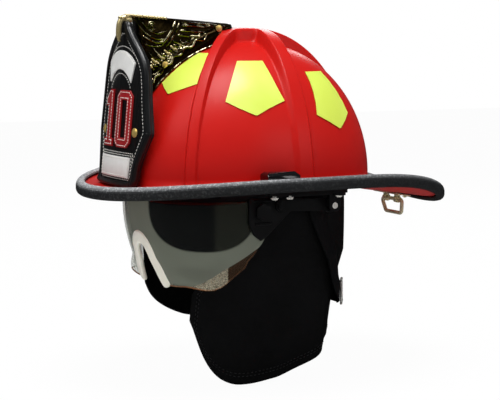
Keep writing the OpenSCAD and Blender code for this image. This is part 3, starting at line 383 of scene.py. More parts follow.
# Painted light: faces that look upwards are painted paler, as if lit from above, and most pale
# specks sit there; all this paleness fades towards the rear.
painted_top_light = rubber.ramp(rubber.facing("Z"), (0.2, 0), (0.75, 1))
specks = rubber.ramp(rubber.noise(420, 2, 0.8), (0.5, 0), (0.66, 1))
paler_to_front = rubber.ramp(rubber.at("Y") * 0.0025 + 0.5, (0.1, 1), (0.6, 0.4))
top_light_and_specks = (painted_top_light * 0.42 + specks * (painted_top_light * 0.6 + 0.06)) * paler_to_front
rubber.feed("Base Color", rubber.blend(top_light_and_specks, "#1f2021", "#c4c6c7"))
rubber.feed("Roughness", 0.75 - grain * 0.25)
rubber.relief(grain, 0.6)
finish_piece(trim, rubber, nodes=["edge_trim"])


# Reflective panels: five-sided pieces of lime-yellow reflective sheet, stuck on the panels
# between the ribs, with a fine cell pattern pressed into the film, and a faint painted glow.
weld_near = 2e-5


def soften(node, finish, width=0.0, angle=32):
    """Gives a CAD node its finish, smooth curved faces and, with a width, rounded edges."""
    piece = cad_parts[node]
    piece.data.materials.clear()
    piece.data.materials.append(finish.material)
    piece.data.polygons.foreach_set("use_smooth", [True] * len(piece.data.polygons))
    weld = piece.modifiers.new("weld", "WELD")
    weld.merge_threshold = weld_near
    if width:
        bevel = piece.modifiers.new("bevel", "BEVEL")
        bevel.width, bevel.segments = width / 1000, 3
        bevel.limit_method, bevel.angle_limit = "ANGLE", math.radians(angle)
        bevel.harden_normals = True
    split = piece.modifiers.new("split", "EDGE_SPLIT")
    split.split_angle = math.radians(angle)
    return piece


lime = Finish("lime_reflective_sheet", "#e9fb5e", 0.42, coat=0.3, Coat_Roughness=0.2)
lime.mottle(30, 2, "#c6d844", "#d6e762")
lime.relief(lime.ramp(lime.cells(700, "DISTANCE_TO_EDGE", 0.0), (0.0, 0), (0.12, 1)), 0.05)
# Painted light: the sheet glows faintly, though it is no lamp.
lime.feed("Emission Color", paint("#dff24c"))
lime.feed("Emission Strength", 0.06)
soften("reflective_panels", lime)


# Leather front: a stitched shield of black leather with a rolled edge, on a curved backing.
# Its banner and panel are white leather without words, and its number is red leather.
def leather_finish(name, colour, scratch):
    """Leather of a colour, creased towards another, with pores."""
    made = Finish(name, colour, 0.36, Specular_IOR_Level=0.35)
    pores = made.cells(520)
    creases = made.noise(160, 5, 0.6)
    made.feed("Base Color", made.blend(creases * 0.6, colour, scratch))
    made.feed("Roughness", 0.3 + creases * 0.25)
    made.relief(pores * 0.5 + creases * 0.5, 0.12)
    return made


leather = leather_finish("smooth_black_leather", "#070708", "#111112")
roll = leather_finish("rolled_edge_leather", "#08090a", "#14171a")
roll.feed("Coat Weight", 0.35)
roll.feed("Coat Roughness", 0.25)
white = leather_finish("white_leather", "#e9e8e4", "#cfcdc7")
red_hide = leather_finish("red_leather", "#a41217", "#7d0c10")
soften("leather_front", leather, 0.3)
soften("front_backing", roll, 1.1)
soften("bottom_banner", white, 0.35)
soften("front_number", red_hide, 0.35)

front_y, front_z, front_bend, front_lean = -141.0, -5.0, 170.0, math.radians(5.5)
front_h, front_half_w, banner_mid, arch_mid = 156.0, 57.0, 86, 81.5
digit_w, digit_h, digit_low = 48.05, 54.6, 36.66


def front_place(x, h, out):
    """Place and outward direction on the leather front at half width x and height h."""
    turn_by = math.asin(x / front_bend)
    y = front_bend - (front_bend + out) * math.cos(turn_by)
    p = Vector(((front_bend + out) * math.sin(turn_by), y, h))
    lean = Matrix.Rotation(-front_lean, 3, "X")
    return lean @ p + Vector((0, front_y, front_z)), lean @ Vector((math.sin(turn_by),
                                                                    -math.cos(turn_by), 0))


def inset(line, d):
    """Moves a closed outline inwards by d, for an outline that runs anticlockwise."""
    moved = []
    for i, p in enumerate(line):
        before, after = Vector(line[i - 1]), Vector(line[(i + 1) % len(line)])
        a, b = (Vector(p) - before).normalized(), (after - Vector(p)).normalized()
        n = Vector((-a.y - b.y, a.x + b.x)).normalized()
        moved.append(tuple(Vector(p) + n * d / max(0.35, n.dot(Vector((-a.y, a.x))))))
    return moved


def walk(line, step, closed):
    """Points and directions along a line, step apart."""
    line = [Vector(p) for p in line]
    if closed:
        line.append(line[0])
    spots, left = [], step / 2
    for a, b in zip(line, line[1:]):
        length, at = (b - a).length, left
        while at < length:
            spots.append((a.lerp(b, at / length), (b - a).normalized()))
            at += step
        left = at - length
    return spots


def many(name, unit, places):
    """One mesh with a copy of a unit object at each place, given as a 4 by 4 matrix."""
    points = np.array([v.co[:] for v in unit.data.vertices])
    faces = [tuple(f.vertices) for f in unit.data.polygons]
    verts, polys = [], []
    for m in places:
        m = np.array(m)
        polys += [tuple(i + len(verts) * len(points) for i in f) for f in faces]
        verts.append(points @ m[:3, :3].T + m[:3, 3])
    mesh = bpy.data.meshes.new(name)
    mesh.from_pydata([tuple(p) for p in np.concatenate(verts)], [], polys)
    piece = add_object(name, mesh)
    tidy(piece, 50)
    return piece


def frame_of(origin, along, up, scale=(1, 1, 1)):
    """Matrix, in metres, that puts a unit's X along a direction and its Z outwards."""
    along, up = Vector(along).normalized(), Vector(up).normalized()
    side = up.cross(along).normalized()
    axes = Matrix((along * scale[0], side * scale[1], side.cross(along) * scale[2]))
    made = axes.transposed().to_4x4()
    made.translation = Vector(origin) / 1000
    return made


def rope(name, line, thick, around=8, taper=True):
    """A round line through points, whose ends taper off."""
    line = np.array(line, float)
    ends = np.concatenate([[2 * line[0] - line[1]], line, [2 * line[-1] - line[-2]]])
    path = []
    for i in range(len(line) - 1):
        a, b, c, d = ends[i:i + 4]
        for f in np.linspace(0, 1, 6, endpoint=i == len(line) - 2):
            path.append(0.5 * (2 * b + (c - a) * f + (2 * a - 5 * b + 4 * c - d) * f * f
                               + (3 * b - a - 3 * c + d) * f ** 3))
    path = np.array(path)
    along = np.gradient(path, axis=0)
    along /= np.linalg.norm(along, axis=1, keepdims=True)
    side = np.cross(along, (0.2, 0.1, 1.0) if abs(along[0, 2]) < 0.8 else (1.0, 0, 0.1))
    side /= np.linalg.norm(side, axis=1, keepdims=True)
    other = np.cross(side, along)
    turns = np.linspace(0, 2 * np.pi, around, endpoint=False)
    t = np.linspace(0, 1, len(path))
    size = thick * (np.clip(np.minimum(t, 1 - t) * 7, 0.25, 1) ** 0.5 if taper else 1 + 0 * t)
    rows = [p + r * (np.cos(turns)[:, None] * u + np.sin(turns)[:, None] * v)
            for p, r, u, v in zip(path, size, side, other)]
    return skin(name, np.array(rows), poles=True)


bpy.ops.mesh.primitive_uv_sphere_add(segments=8, ring_count=5, radius=0.001)
stitch = bpy.context.object
stitch.name = "one_stitch"
bpy.ops.object.mode_set(mode="EDIT")
bpy.ops.mesh.select_all(action="SELECT")
bpy.ops.transform.resize(value=(1.15, 0.42, 0.36))
bpy.ops.object.mode_set(mode="OBJECT")


def stitches_on_front(line, out, step=3.4, closed=True):
    """Places of the stitches along a line on the leather front."""
    made = []
    for p, d in walk(line, step, closed):
        at, up = front_place(p.x, p.y, out)
        ahead, _ = front_place(p.x + d.x, p.y + d.y, out)
        made.append(frame_of(at, ahead - at, up))
    return made


front_shape = [[0, 0.68], [0.04, 0.735], [0.11, 0.76], [0.17, 0.81], [0.315, 0.985],
               [0.34, 1], [0.375, 0.985], [0.54, 0.9], [0.64, 0.86], [0.72, 0.81], [0.78, 0.72],
               [0.85, 0.54], [0.92, 0.31], [0.965, 0.18], [1, 0.11]]
side_line = [(q * front_half_w, p * front_h) for p, q in front_shape]
outline = side_line + [(-x, h) for x, h in side_line[::-1]]
piping = [front_place(x, h, -1.25)[0] for x, h in inset(outline, 2.5)]
rolled = rope("rolled_edge", piping + piping[:1], 3.7, 16, taper=False)
finish_piece(rolled, roll)
edge_run = [(x, h) for x, h in inset(outline, 8.4) if x > 1 and h < 0.93 * front_h]
edge_run = edge_run + [(-x, h) for x, h in edge_run[::-1]]
places = stitches_on_front(edge_run, 0.15)


def banner_arc(radius, middle, spread):
    """Points of an arc over the front's middle, spread degrees to each side of the top."""
    return [(radius * math.sin(t), middle + radius * math.cos(t))
            for t in np.radians(np.linspace(-spread, spread, 41))]


over, under = banner_arc(43, banner_mid, 43), banner_arc(29.5, arch_mid, 55)
rows = [[front_place(mix(a[0], b[0], v), mix(a[1], b[1], v), 0.9)[0] for a, b in zip(under, over)]
        for v in np.linspace(0, 1, 7)]
white_band = skin("arched_banner", np.array(rows), ring=False, wall=1.6)
round_off = white_band.modifiers.new("rounded", "BEVEL")
round_off.width, round_off.segments = 0.0003, 2
apply_modifiers(white_band)
finish_piece(white_band, white, nodes=["top_banner"])
for radius, middle, spread in ((47, banner_mid, 50), (25.5, arch_mid, 66)):
    places += stitches_on_front(banner_arc(radius, middle, spread), 0.15, 3.2, False)
places += stitches_on_front(banner_arc(41, banner_mid, 41), 1.75, 3, False)
panel = [(-31.9, 8.6), (31.9, 8.6), (31.9, 28.1), (-31.9, 28.1)]
for grow, out in ((1.8, 0.15), (4.0, 0.15), (-1.6, 1.75)):
    places += stitches_on_front(inset(panel, -grow), out, 3)
one = [(0.1, 0), (0.62, 0), (0.62, 0.14), (0.5, 0.14), (0.5, 1), (0.3, 1), (0.08, 0.84),
       (0.08, 0.7), (0.24, 0.7), (0.24, 0.14), (0.1, 0.14)]
zero = [(0.12, 0), (0.5, 0), (0.62, 0.1), (0.62, 0.9), (0.5, 1), (0.12, 1), (0, 0.9), (0, 0.1)]
hole = [(0.2, 0.17), (0.42, 0.17), (0.42, 0.83), (0.2, 0.83)]
for line, left, d in ((one, -34.4, 1.9), (zero, 0.82, 1.9), (hole, 0.82, -1.9)):
    line = [(left + x * digit_w, digit_low + y * digit_h) for x, y in line]
    places += stitches_on_front(inset(line, d), 1.95, 2.9)
stitching = many("front_stitching", stitch, places)
thread = Finish("white_thread", "#e8e6df", 0.7)
thread.mottle(300, 3, "#f1efe9", "#c9c6bd")
finish_piece(stitching, thread)


# Front's screws and brackets: brass slotted screws through the leather into plastic standoffs.
# Each head is turned from brass, domed, and slotted.
def brass_finish(name, low, high, rough, metal):
    """Brass between two colours in soft patches."""
    made = Finish(name, high, rough, metal)
    patches = made.noise(55, 4, 0.6)
    made.feed("Base Color", made.blend(patches, low, high))
    made.feed("Roughness", rough + patches * 0.16)
    made.relief(made.noise(400, 3), 0.04)
    return made


brass = brass_finish("polished_brass", "#d8ac44", "#ffe79a", 0.22, 0.7)
moulding = Finish("satin_black_moulding", "#0c0c0d", 0.42, Specular_IOR_Level=0.35)
moulding.feed("Roughness", 0.34 + moulding.noise(150, 4) * 0.2)
moulding.relief(moulding.noise(900, 2), 0.04)
soften("front_screws", brass, 0.25)
soften("front_brackets", moulding, 0.3)


# Eagle: a cast brass figure that stands on the front rib and holds the leather front with its
# hooked beak. The casting's hollows are dark, its feathers are polished, its beads are bright, and
# the undersides of its relief carry a painted yellow-green reflection.
def dark_brass(name):
    """Tarnished brass with a cast surface."""
    made = Finish(name, "#6d5526", 0.24, metal=1.0)
    made.feed("Roughness", 0.16 + made.noise(70, 5, 0.7) * 0.24)
    made.relief(made.noise(240, 4), 0.25)
    return made


def comb_top(e):
    """Rise of the front rib above the dome at height angle e."""
    return mix(rib_rise, comb_rise, np.sin(np.radians(e)) ** 4)


foot_e = np.linspace(84, 38, 47)
foot_line = dome(0 * foot_e, foot_e, comb_top(foot_e) + 0.3)
neck_line = np.array([[-108, 112], [-111, 126], [-114.5, 139], [-116, 151.2], [-119.5, 152]])
low_line = np.concatenate([foot_line[:, 1:], neck_line])
flank_w = [[0, 1], [0.05, 1.12], [0.1, 0.9], [0.2, 0.8], [0.32, 0.74], [0.45, 0.7],
           [0.58, 0.64], [0.7, 0.55], [0.82, 0.42], [0.92, 0.28], [1, 0.06]]


def eagle_top(y):
    """Level of the eagle's back."""
    return mix(148.5, 157, np.clip((-y - 8) / 112, 0, 1))


def half_width(y, share):
    """Half width of the eagle's body at a share of its height."""
    widest = mix(8, 5, np.clip((-y - 108) / 12, 0, 1))
    return widest * table(flank_w, share)


def flank(y, z):
    """Half width of the eagle's body at a place on its side."""
    low = np.interp(-y, -low_line[:, 0], low_line[:, 1])
    return half_width(y, np.clip((z - low) / np.maximum(4, eagle_top(y) - low), 0, 1))


rows = []
for y, low in low_line:
    share = np.linspace(0, 1, 16)
    z = mix(low, max(low + 4, eagle_top(y)), share)
    side = np.stack([half_width(y, share), 0 * z + y, z], -1)
    rows.append(np.concatenate([side * (-1, 1, 1), side[::-1]]))
body = skin("eagle_body", np.array(rows), poles=True)
skirt_e, skirt_half_w = np.linspace(77, 38, 40), 10.9
skirt_top = np.stack([0 * skirt_e + 8.3,
                      *dome(0 * skirt_e, skirt_e, comb_top(skirt_e) + 2.8)[:, 1:].T], -1)
beside = (skirt_half_w / (dome_half_w * np.cos(np.radians(skirt_e)))) ** (dome_square / 2)
skirt_low = dome(np.degrees(np.arcsin(np.minimum(1, beside))), skirt_e, 0.9)


def skirt(v):
    """Line along the eagle's foot, from its flank at v 0 to the shell beside the rib at v 1."""
    line = mix(skirt_top, skirt_low, v)
    line[:, 0] += 0.9 * math.sin(math.pi * v)
    return line


skirts = [skin("eagle_skirt", np.array([skirt(v) * (side, 1, 1) for v in np.linspace(0, 1, 9)]),
               ring=False, wall=1.5) for side in (1, -1)]


def on_flank(line, out):
    """Points on the eagle's side, from pairs of a place along it and a level."""
    return [(flank(y, z) + out, y, z) for y, z in line]


cast_lines = [
    (1.1, [(-117, 152), (-113, 145.6), (-106.8, 139.9), (-99.5, 135.5), (-91, 133.6),
           (-84.8, 134)]),
    (0.9, [(-113, 153.2), (-107.8, 147.5), (-101.5, 141.8), (-93.2, 139.3), (-84.7, 141.7)]),
    (1.2, [(-109.9, 137), (-101.6, 132.7), (-93.2, 130.7), (-85.8, 132.1)]),
    (0.8, [(-109, 129.5), (-101, 127.5), (-93, 127.2), (-88, 128.6)]),
    (1.5, [(-74.1, 151.8), (-78.4, 143.6), (-84.2, 135.5), (-90.1, 128.3)]),
    (1.2, [(-69.5, 151.3), (-73.8, 142.8), (-79.8, 134.2), (-86.2, 126.6)]),
    (1.3, [(-68.8, 146.8), (-56, 146.6), (-42, 144.9)]),
    (1.3, [(-70.9, 142.2), (-57, 141.2), (-43, 140.6)]),
    (1.3, [(-74.2, 137.8), (-60, 136.6), (-47, 136)]),
    (1.4, [(-79.5, 132.6), (-69.9, 129.6), (-59, 130)]),
    (1.0, [(-67.7, 150), (-50.6, 148.8), (-30, 147.2)]),
    (0.9, [(-67.7, 148.2), (-50.6, 147), (-33, 145.4)]),
    (1.1, [(-42, 142.6), (-33, 142.6), (-24, 143.4)]),
    (1.1, [(-46, 138.6), (-36, 138.6), (-27, 140)]),
    (1.2, [(-56, 132.4), (-45, 133.6), (-33, 136.2)]),
    (1.0, [(-40, 146.8), (-30, 145.6), (-20, 146)]),
    (1.1, [(-100.5, 127), (-96, 121), (-89.5, 117.4), (-83, 117.9)]),
    (1.0, [(-104, 121), (-99.5, 116.5), (-93, 113.6)])]
wave_y = np.linspace(-104.5, -48, 26)
wave_low = np.interp(-wave_y, -low_line[:, 0], low_line[:, 1])
wave = [(y, z + 3.2 + 1.3 * math.sin(i * 1.9)) for i, (y, z) in enumerate(zip(wave_y, wave_low))]
cast_lines += [(1.2, wave), (1.0, [(y + 1.5, z + 2.6) for y, z in wave[2:]])]
parts = []
for side_of in (1, -1):
    for thick, line in cast_lines:
        parts.append(rope("cast_line", np.array(on_flank(line, 0.15)) * (side_of, 1, 1), thick))
    rim = (skirt(1)[::3] + (0.3, 0, 0.5)) * (side_of, 1, 1)
    parts.append(rope("cast_rim", rim, 1.2, taper=False))
    edge = [skirt(0.2 + 0.13 * math.sin(1.1 * k))[k] + (0.9, 0, 0) for k in range(4, 40)]
    parts.append(rope("cast_wave", np.array(edge) * (side_of, 1, 1), 1.15))
    for y, z, r in ((-99.4, 146.5, 4.0), (-99.4, 146.5, 2.2), (-100.2, 104.6, 4.6),
                    (-25, 141, 3.2)):
        loop = [(y + r * math.cos(t), z + r * math.sin(t)) for t in np.linspace(0.6, 6.2, 12)]
        parts.append(rope("cast_loop", np.array(on_flank(loop, 0.3)) * (side_of, 1, 1), 0.8))
beak = [(0, -119, 155), (0, -124.5, 155.2), (0, -129, 153.6), (0, -131.7, 149.5), (0, -132.6, 144),
        (0, -132.8, 138), (0, -132.5, 132)]
hooks = [rope("beak_hook", beak, 2.7, 14),
         rope("beak_root", [(0, -118, 152), (0, -123, 152.6), (0, -127, 151.5)], 2.6, 12)]
bpy.ops.mesh.primitive_uv_sphere_add(segments=10, ring_count=6, radius=0.001)
bead = bpy.context.object
drops, beads = [], []
for k in range(16):
    y = -131 + 3.1 * k
    z = eagle_top(max(y, -120)) - (0.4 if y > -126 else 2.4)
    for side_of in (1, -1):
        beads.append(frame_of((side_of * 1.6, y, z), (0, 1, 0), (0, 0, 1), (1.6, 1.5, 1.45)))
for side_of in (1, -1):
    for y, z, r in ((-99.4, 146.5, 1.3), (-35, 145, 1.3), (-31, 144, 1.1), (-27.5, 145.6, 1.2),
                    (-46, 140, 1.0), (-50, 133, 1.2), (-41, 136.6, 1.0), (-36, 133.6, 1.3),
                    (-60, 126, 1.3), (-64, 133, 1.1)):
        spot = (side_of * (flank(y, z) + 0.4), y, z)
        drops.append(frame_of(spot, (0, 1, 0), (side_of, 0, 0), (r, r, r)))
    for row in range(4):
        for k in range(10):
            y, z = -70 - 3.3 * k - 1.2 * row, 131.5 - 2.05 * k - 3.2 * row + 0.8 * (k % 2)
            if z > np.interp(-y, -foot_line[:, 1], foot_line[:, 2]) + 3:
                spot = (side_of * (flank(y, z) + 0.3), y, z)
                (beads if (row + k) % 2 and row < 3 else drops).append(
                    frame_of(spot, (0, 1, -0.75), (side_of, 0, 0.4), (2.4, 1.3, 1.1)))
parts.append(many("cast_drops", bead, drops))
hooks.append(many("bright_beads", bead, beads))
bpy.data.objects.remove(bead)
pick(body, *skirts)
bpy.ops.object.join()
pick(*parts)
bpy.ops.object.join()
relief = bpy.context.object
relief.name = "eagle_relief"
pick(*hooks)
bpy.ops.object.join()
hollow_brass = dark_brass("hollow_brass")
hollow_brass.mottle(90, 4, "#060402", "#2e2410")
raised_brass = dark_brass("raised_brass")
worn = raised_brass.ramp(raised_brass.noise(150, 4, 0.6), (0.47, 0), (0.6, 1))
# Painted reflection: faces that look downwards are tinted yellow-green, for the lime panels
# mirrored in the brass.
painted_lime_reflection = raised_brass.ramp(raised_brass.facing("Z") * -1 + 0.5, (0.35, 0), (0.8, 1))
gold = raised_brass.blend(worn, "#15110a", "#cfc4a0")
raised_brass.feed("Base Color", raised_brass.blend(painted_lime_reflection, gold, "#7f8a1c"))
raised_brass.feed("Roughness", 0.1 + worn * 0.1)
finish_piece(body, hollow_brass, nodes=["eagle_holder"])
finish_piece(relief, raised_brass, nodes=["eagle_holder"])
beak_brass = brass_finish("bright_beak_brass", "#b9a05c", "#fff0bd", 0.25, 0.75)
finish_piece(hooks[0], beak_brass, nodes=["eagle_holder"])
soften("eagle_screws", brass, 0.4)


# Brim blocks, rails, screws and pins: what carries the visor under the brim. The blocks are
# glossy mouldings, the rails are satin, and the screws and pins are nickel plated.
glossy = Finish("gloss_black_moulding", "#08090a", 0.12, coat=0.4)
glossy.feed("Roughness", 0.08 + glossy.noise(120, 4) * 0.1)
nickel = Finish("nickel_plate", "#f2efe6", 0.24, metal=0.5)
nickel.feed("Roughness", 0.16 + nickel.noise(200, 4) * 0.16)
steel = Finish("blackened_steel", "#3a3b3e", 0.4, metal=0.8)
steel.feed("Roughness", 0.32 + steel.noise(250, 4) * 0.2)
soften("brim_blocks", glossy, 1.6)
soften("side_rails", moulding, 0.7)
soften("rail_screws", nickel, 0.3)
soften("pivot_pins", nickel, 0.4)


# Visor: a smoke-tinted moulded lens whose tint holds painted reflections, with an amber cut edge,
# on hinged arms and carriers with hexagonal grips, and a soft white nose guard pushed over its
# arch.
pivot_y, pivot_z = 44.0, -24.0
lens_half_w, lens_front, lens_depth, lens_t, lens_side_y = 93.0, 116.0, 75.0, 2.4, 24.0
lens_top_z, lens_end_z, nose_z, guard_inner_r, guard_w = -17.0, -103, -76.0, 12.0, 14.0
arch_r = guard_inner_r + guard_w / 2
lens_low = [[24, -101], [31, -101.5], [40, -101], [48, -100.5], [56, -99.5], [64, -98.5],
            [70, -98.3], [79, -99.5], [86, -100.5], [95, -101]]
lens_rear = [[-78, -101.5], [-75, -100.2], [-65, -96.6], [-59.7, -94], [-46, -80.2],
             [-36, -69.2], [-24, -54.6], [-20, -38], [-17, -16]]


def lens_point(x, z, out=0.0, back=0.0):
    """Point of the lens at half width x and level z; back runs its straight sides to the rear.
    Every level turns about the visor's pivot, so that the lens slides in under the shell."""
    square = 2.5 + 2.1 * ease(-78, lens_end_z, z)
    share = np.abs(np.clip(x / lens_half_w, -1, 1)) ** square
    reach = lens_front - lens_depth + (lens_depth + out) * (1 - share) ** (1 / square) - back
    y = pivot_y - np.sqrt(np.maximum(0, (pivot_y + reach) ** 2 - (z - pivot_z) ** 2))
    return np.stack([x * (1 + out / lens_half_w) + 0 * y, y, z + 0 * y], -1)


def on_lens(x, y, z):
    """Whether the lens has material here, within its arch, lower edge and rear edge."""
    leg = arch_r + np.maximum(0, nose_z - z) * 0.5
    arch = np.where(z > nose_z, np.hypot(x, z - nose_z) > arch_r, np.abs(x) > leg)
    low, rear = table(lens_low, np.abs(x)), table(lens_rear, y)
    return arch & (z > np.maximum(low, rear))


plan = []
for u in (*np.linspace(0, 87, 53), 88, 88.7, 89.2, 89.6, 89.85, 90):
    plan.append((lens_half_w * math.sin(math.radians(u)) ** 0.85, 0.0))
side_l = lens_front - lens_depth - lens_side_y
plan += [(lens_half_w, back) for back in np.linspace(1.5, side_l, 10)]
plan += [(x, 0.0) for x in np.linspace(13, 31, 25)]
plan = sorted(plan)
plan = [(-x, back) for x, back in plan[:0:-1]] + plan
ends = []
for x, back in plan:
    z = np.linspace(lens_top_z, lens_end_z, 431)
    inside = on_lens(x, lens_point(x, z, 0, back)[:, 1], z)
    ends.append(z[:int(np.argmin(inside)) or None][-1])
side = np.abs([x for x, _ in plan]) > 40
for _ in range(4):
    ends = np.where(side, np.convolve(np.pad(ends, 1, "edge"), (0.25, 0.5, 0.25), "valid"), ends)
columns = [lens_point(x, np.linspace(lens_top_z, end, 22), -lens_t / 2, back)
           for (x, back), end in zip(plan, ends)]
rim = [column[-1] for column in columns]
clear = skin("visor_lens_clear", np.array(columns), ring=False, wall=lens_t)
lens = Finish("smoke_tinted_lens", "#6d7164", 0.06, Specular_IOR_Level=0.5)
# Zones of the tint, measured across the photograph, all painted reflection: a dark oval with a
# lighter band in it, a speckled lobe with a brown rear part by the cheek, and a whitish clear
# margin on the far side.
# Elsewhere the grey-green is partly the smoke tint and partly a painted reflection of the bright
# studio.
view_x, view_y = 0.454, 0.891
oval_at, oval_z, oval_half_w, oval_depth, oval_square = -38, -20, 53, 45.5, 2.6
across = lens.maths("ABSOLUTE", lens.at("X")) * view_x + lens.at("Y") * view_y
oval = 0
for offset, reach in ((across - oval_at, oval_half_w), (lens.at("Z") - oval_z, oval_depth)):
    oval = lens.maths("POWER", lens.maths("ABSOLUTE", offset * (1 / reach)), oval_square) + oval
painted_dark_oval = lens.ramp(oval, (0.9, 1), (1.02, 0))
cheek = lens.ramp((lens.at("Z") - lens.at("Y") * 0.6 + 43.5) * -0.5 + 0.5, (0.45, 0), (0.55, 1))
painted_brown_rear = lens.ramp(across * 0.02 + 1, (0.715, 0), (0.735, 1))
painted_margin_reflection = lens.ramp(lens.at("X") * -0.01, (0.3, 0), (0.38, 1))
painted_light_band = lens.ramp(across * 0.01 + 0.5, (0.22, 0), (0.27, 1), (0.55, 1), (0.6, 0))
painted_oval_colour = lens.blend(painted_light_band * 0.8, "#090b0a", "#23251e")
tint_and_painted_reflection = lens.blend(painted_dark_oval, lens.blend(lens.noise(14, 2), "#6c7063", "#7a7e71"), painted_oval_colour)
painted_lobe_flecks = lens.ramp(lens.noise(520, 2, 0.8), (0.42, 0), (0.58, 1))
painted_lobe_colour = lens.blend(painted_brown_rear, lens.blend(painted_lobe_flecks, "#a39a80", "#d3cab0"), "#3b2a1c")
lens.feed("Base Color", lens.blend(painted_margin_reflection, lens.blend(cheek, tint_and_painted_reflection, painted_lobe_colour), "#d8dccd"))
cover = (1 - cheek) * (0.86 + painted_dark_oval * 0.1) + cheek * (painted_brown_rear * 0.3 + 0.4)
lens.feed("Alpha", cover * (1 - painted_margin_reflection * 0.45))
finish_piece(clear, lens, "visor", ["visor_lens"])
cut = rope("lens_cut_edge", np.array(rim)[::2] + (0, -0.9, 0), 0.75, 6, taper=False)
amber = Finish("amber_cut_edge", "#7d4a20", 0.3, coat=0.3)
amber.mottle(60, 3, "#6b3a17", "#a8744a")
finish_piece(cut, amber, "visor")
line = [(31.2, -99), (29.4, -95), (26.4, -89.5), (23, -83.5), (20.3, -79)]
line += [(arch_r * math.cos(t), nose_z + arch_r * math.sin(t)) for t in np.linspace(0, math.pi, 19)]
line += [(-x, z) for x, z in line[4::-1]]
path = np.array([lens_point(x, np.array(z), -lens_t / 2) for x, z in line])
along = np.gradient(path, axis=0)
along /= np.linalg.norm(along, axis=1, keepdims=True)
rows = []
turns = np.linspace(0, 2 * np.pi, 28, endpoint=False)
for (x, z), p, ahead in zip(line, path, along):
    outwards = np.array([0.9 * x / lens_half_w, -1, (z - pivot_z) / 150])
    outwards -= ahead * (outwards @ ahead)
    outwards /= np.linalg.norm(outwards)
    sideways = np.cross(ahead, outwards)
    half = guard_w / 2 + 2.4 * ease(-80, -97, z)
    rows.append(p + half * spow(np.cos(turns), 0.55)[:, None] * sideways
                + 2.8 * spow(np.sin(turns), 0.7)[:, None] * outwards)
for end, step in ((0, -1), (-1, 1)):
    middle = rows[end].mean(axis=0)
    lead = along[end] * step
    caps = [middle + (rows[end] - middle) * shrink + lead * ahead
            for shrink, ahead in ((0.97, 1.2), (0.88, 2.4), (0.7, 3.4), (0.4, 4.0))]
    rows = caps[::-1] + rows if end == 0 else rows + caps
guard = skin("nose_guard_soft", np.array(rows), poles=True)
refine(guard)
white_rubber = Finish("soft_white_rubber", "#efe8d8", 0.42, coat=0.2, Subsurface_Weight=0.05)
white_rubber.mottle(40, 3, "#fdf8ec", "#efe7d4")
white_rubber.relief(white_rubber.noise(300, 3), 0.08)
finish_piece(guard, white_rubber, "visor", ["nose_guard"])
soften("visor_arms", moulding, 0.6)
soften("visor_carriers", moulding, 0.8)
soften("release_grips", moulding, 0.6)


# Inner helmet: a moulded impact cap over foam, held by straps of webbing with a crown pad, and
# a plastic headband that a knob behind draws in with two racks.
grey_plastic = Finish("dark_grey_moulding", "#3c3f42", 0.5)
grey_plastic.feed("Roughness", 0.42 + grey_plastic.noise(120, 4) * 0.2)
grey_plastic.relief(grey_plastic.noise(700, 2), 0.05)
foam = Finish("closed_cell_foam", "#d8d2c4", 0.85)
foam.relief(foam.cells(420), 0.3)
foam.mottle(40, 3, "#d9d3c5", "#bdb6a6")
webbing = Finish("black_webbing", "#0c0c0e", 0.8, Specular_IOR_Level=0.15)
webbing.relief(webbing.noise(700, 2), 0.15)
soften("impact_cap", grey_plastic, 0.3, 45)
soften("impact_foam", foam, 0.0, 45)
soften("cap_mounts", moulding, 0.4)
soften("crown_straps", webbing, 0.3)
soften("headband", grey_plastic, 0.4)
soften("suspension_clips", moulding, 0.5)
soften("rack_left", moulding, 0.2)
soften("rack_right", moulding, 0.2)
soften("ratchet_housing", moulding, 0.8)
soften("ratchet_knob", moulding, 0.6)


# Pads: a brow pad of brown leather over foam, a nape pad and a crown pad of dark knit, all
# sewn, so that they swell between their seams.
def swell(node, name, voxel):
    """A pad in a CAD node's place, blown out by a cloth simulation by up to swell_most."""
    piece = add_object(name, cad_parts[node].data.copy())
    tidy(piece, near=weld_near)
    steps = piece.modifiers.new("even", "REMESH")
    steps.mode, steps.voxel_size = "VOXEL", voxel / 1000
    apply_modifiers(piece)
    soft = piece.modifiers.new("soft", "SMOOTH")
    soft.iterations = 3
    apply_modifiers(piece)
    start = np.array([v.co[:] for v in piece.data.vertices])
    air = piece.modifiers.new("air", "CLOTH")
    air.settings.use_pressure = True
    air.settings.uniform_pressure_force = 4
    air.settings.effector_weights.gravity = 0
    for step in range(1, swell_frames + 1):
        bpy.context.scene.frame_set(step)
    apply_modifiers(piece)
    bpy.context.scene.frame_set(1)
    for v, old in zip(piece.data.vertices, start):
        move = v.co - Vector(old)
        v.co = Vector(old) + move * min(1, swell_most / 1000 / max(move.length, 1e-9))
    refine(piece)
    return piece


swell_frames, swell_most = 20, 1.2
knit = Finish("dark_pad_knit", "#161719", 0.9, Specular_IOR_Level=0.15, Sheen_Weight=0.1)
knit.relief(knit.cells(900), 0.2)
brow_hide = leather_finish("brown_brow_leather", "#4b3324", "#2f2018")
for node, name, finish, slot, voxel in (
        ("brow_pad", "brow_pad_soft", brow_hide, "brow_leather", 3),
        ("nape_pad", "nape_pad_soft", knit, "pad_dark", 4),
        ("crown_pad", "crown_pad_soft", knit, "pad_dark", 4)):
    pad = swell(node, name, voxel)
    finish_piece(pad, finish, nodes=[node])


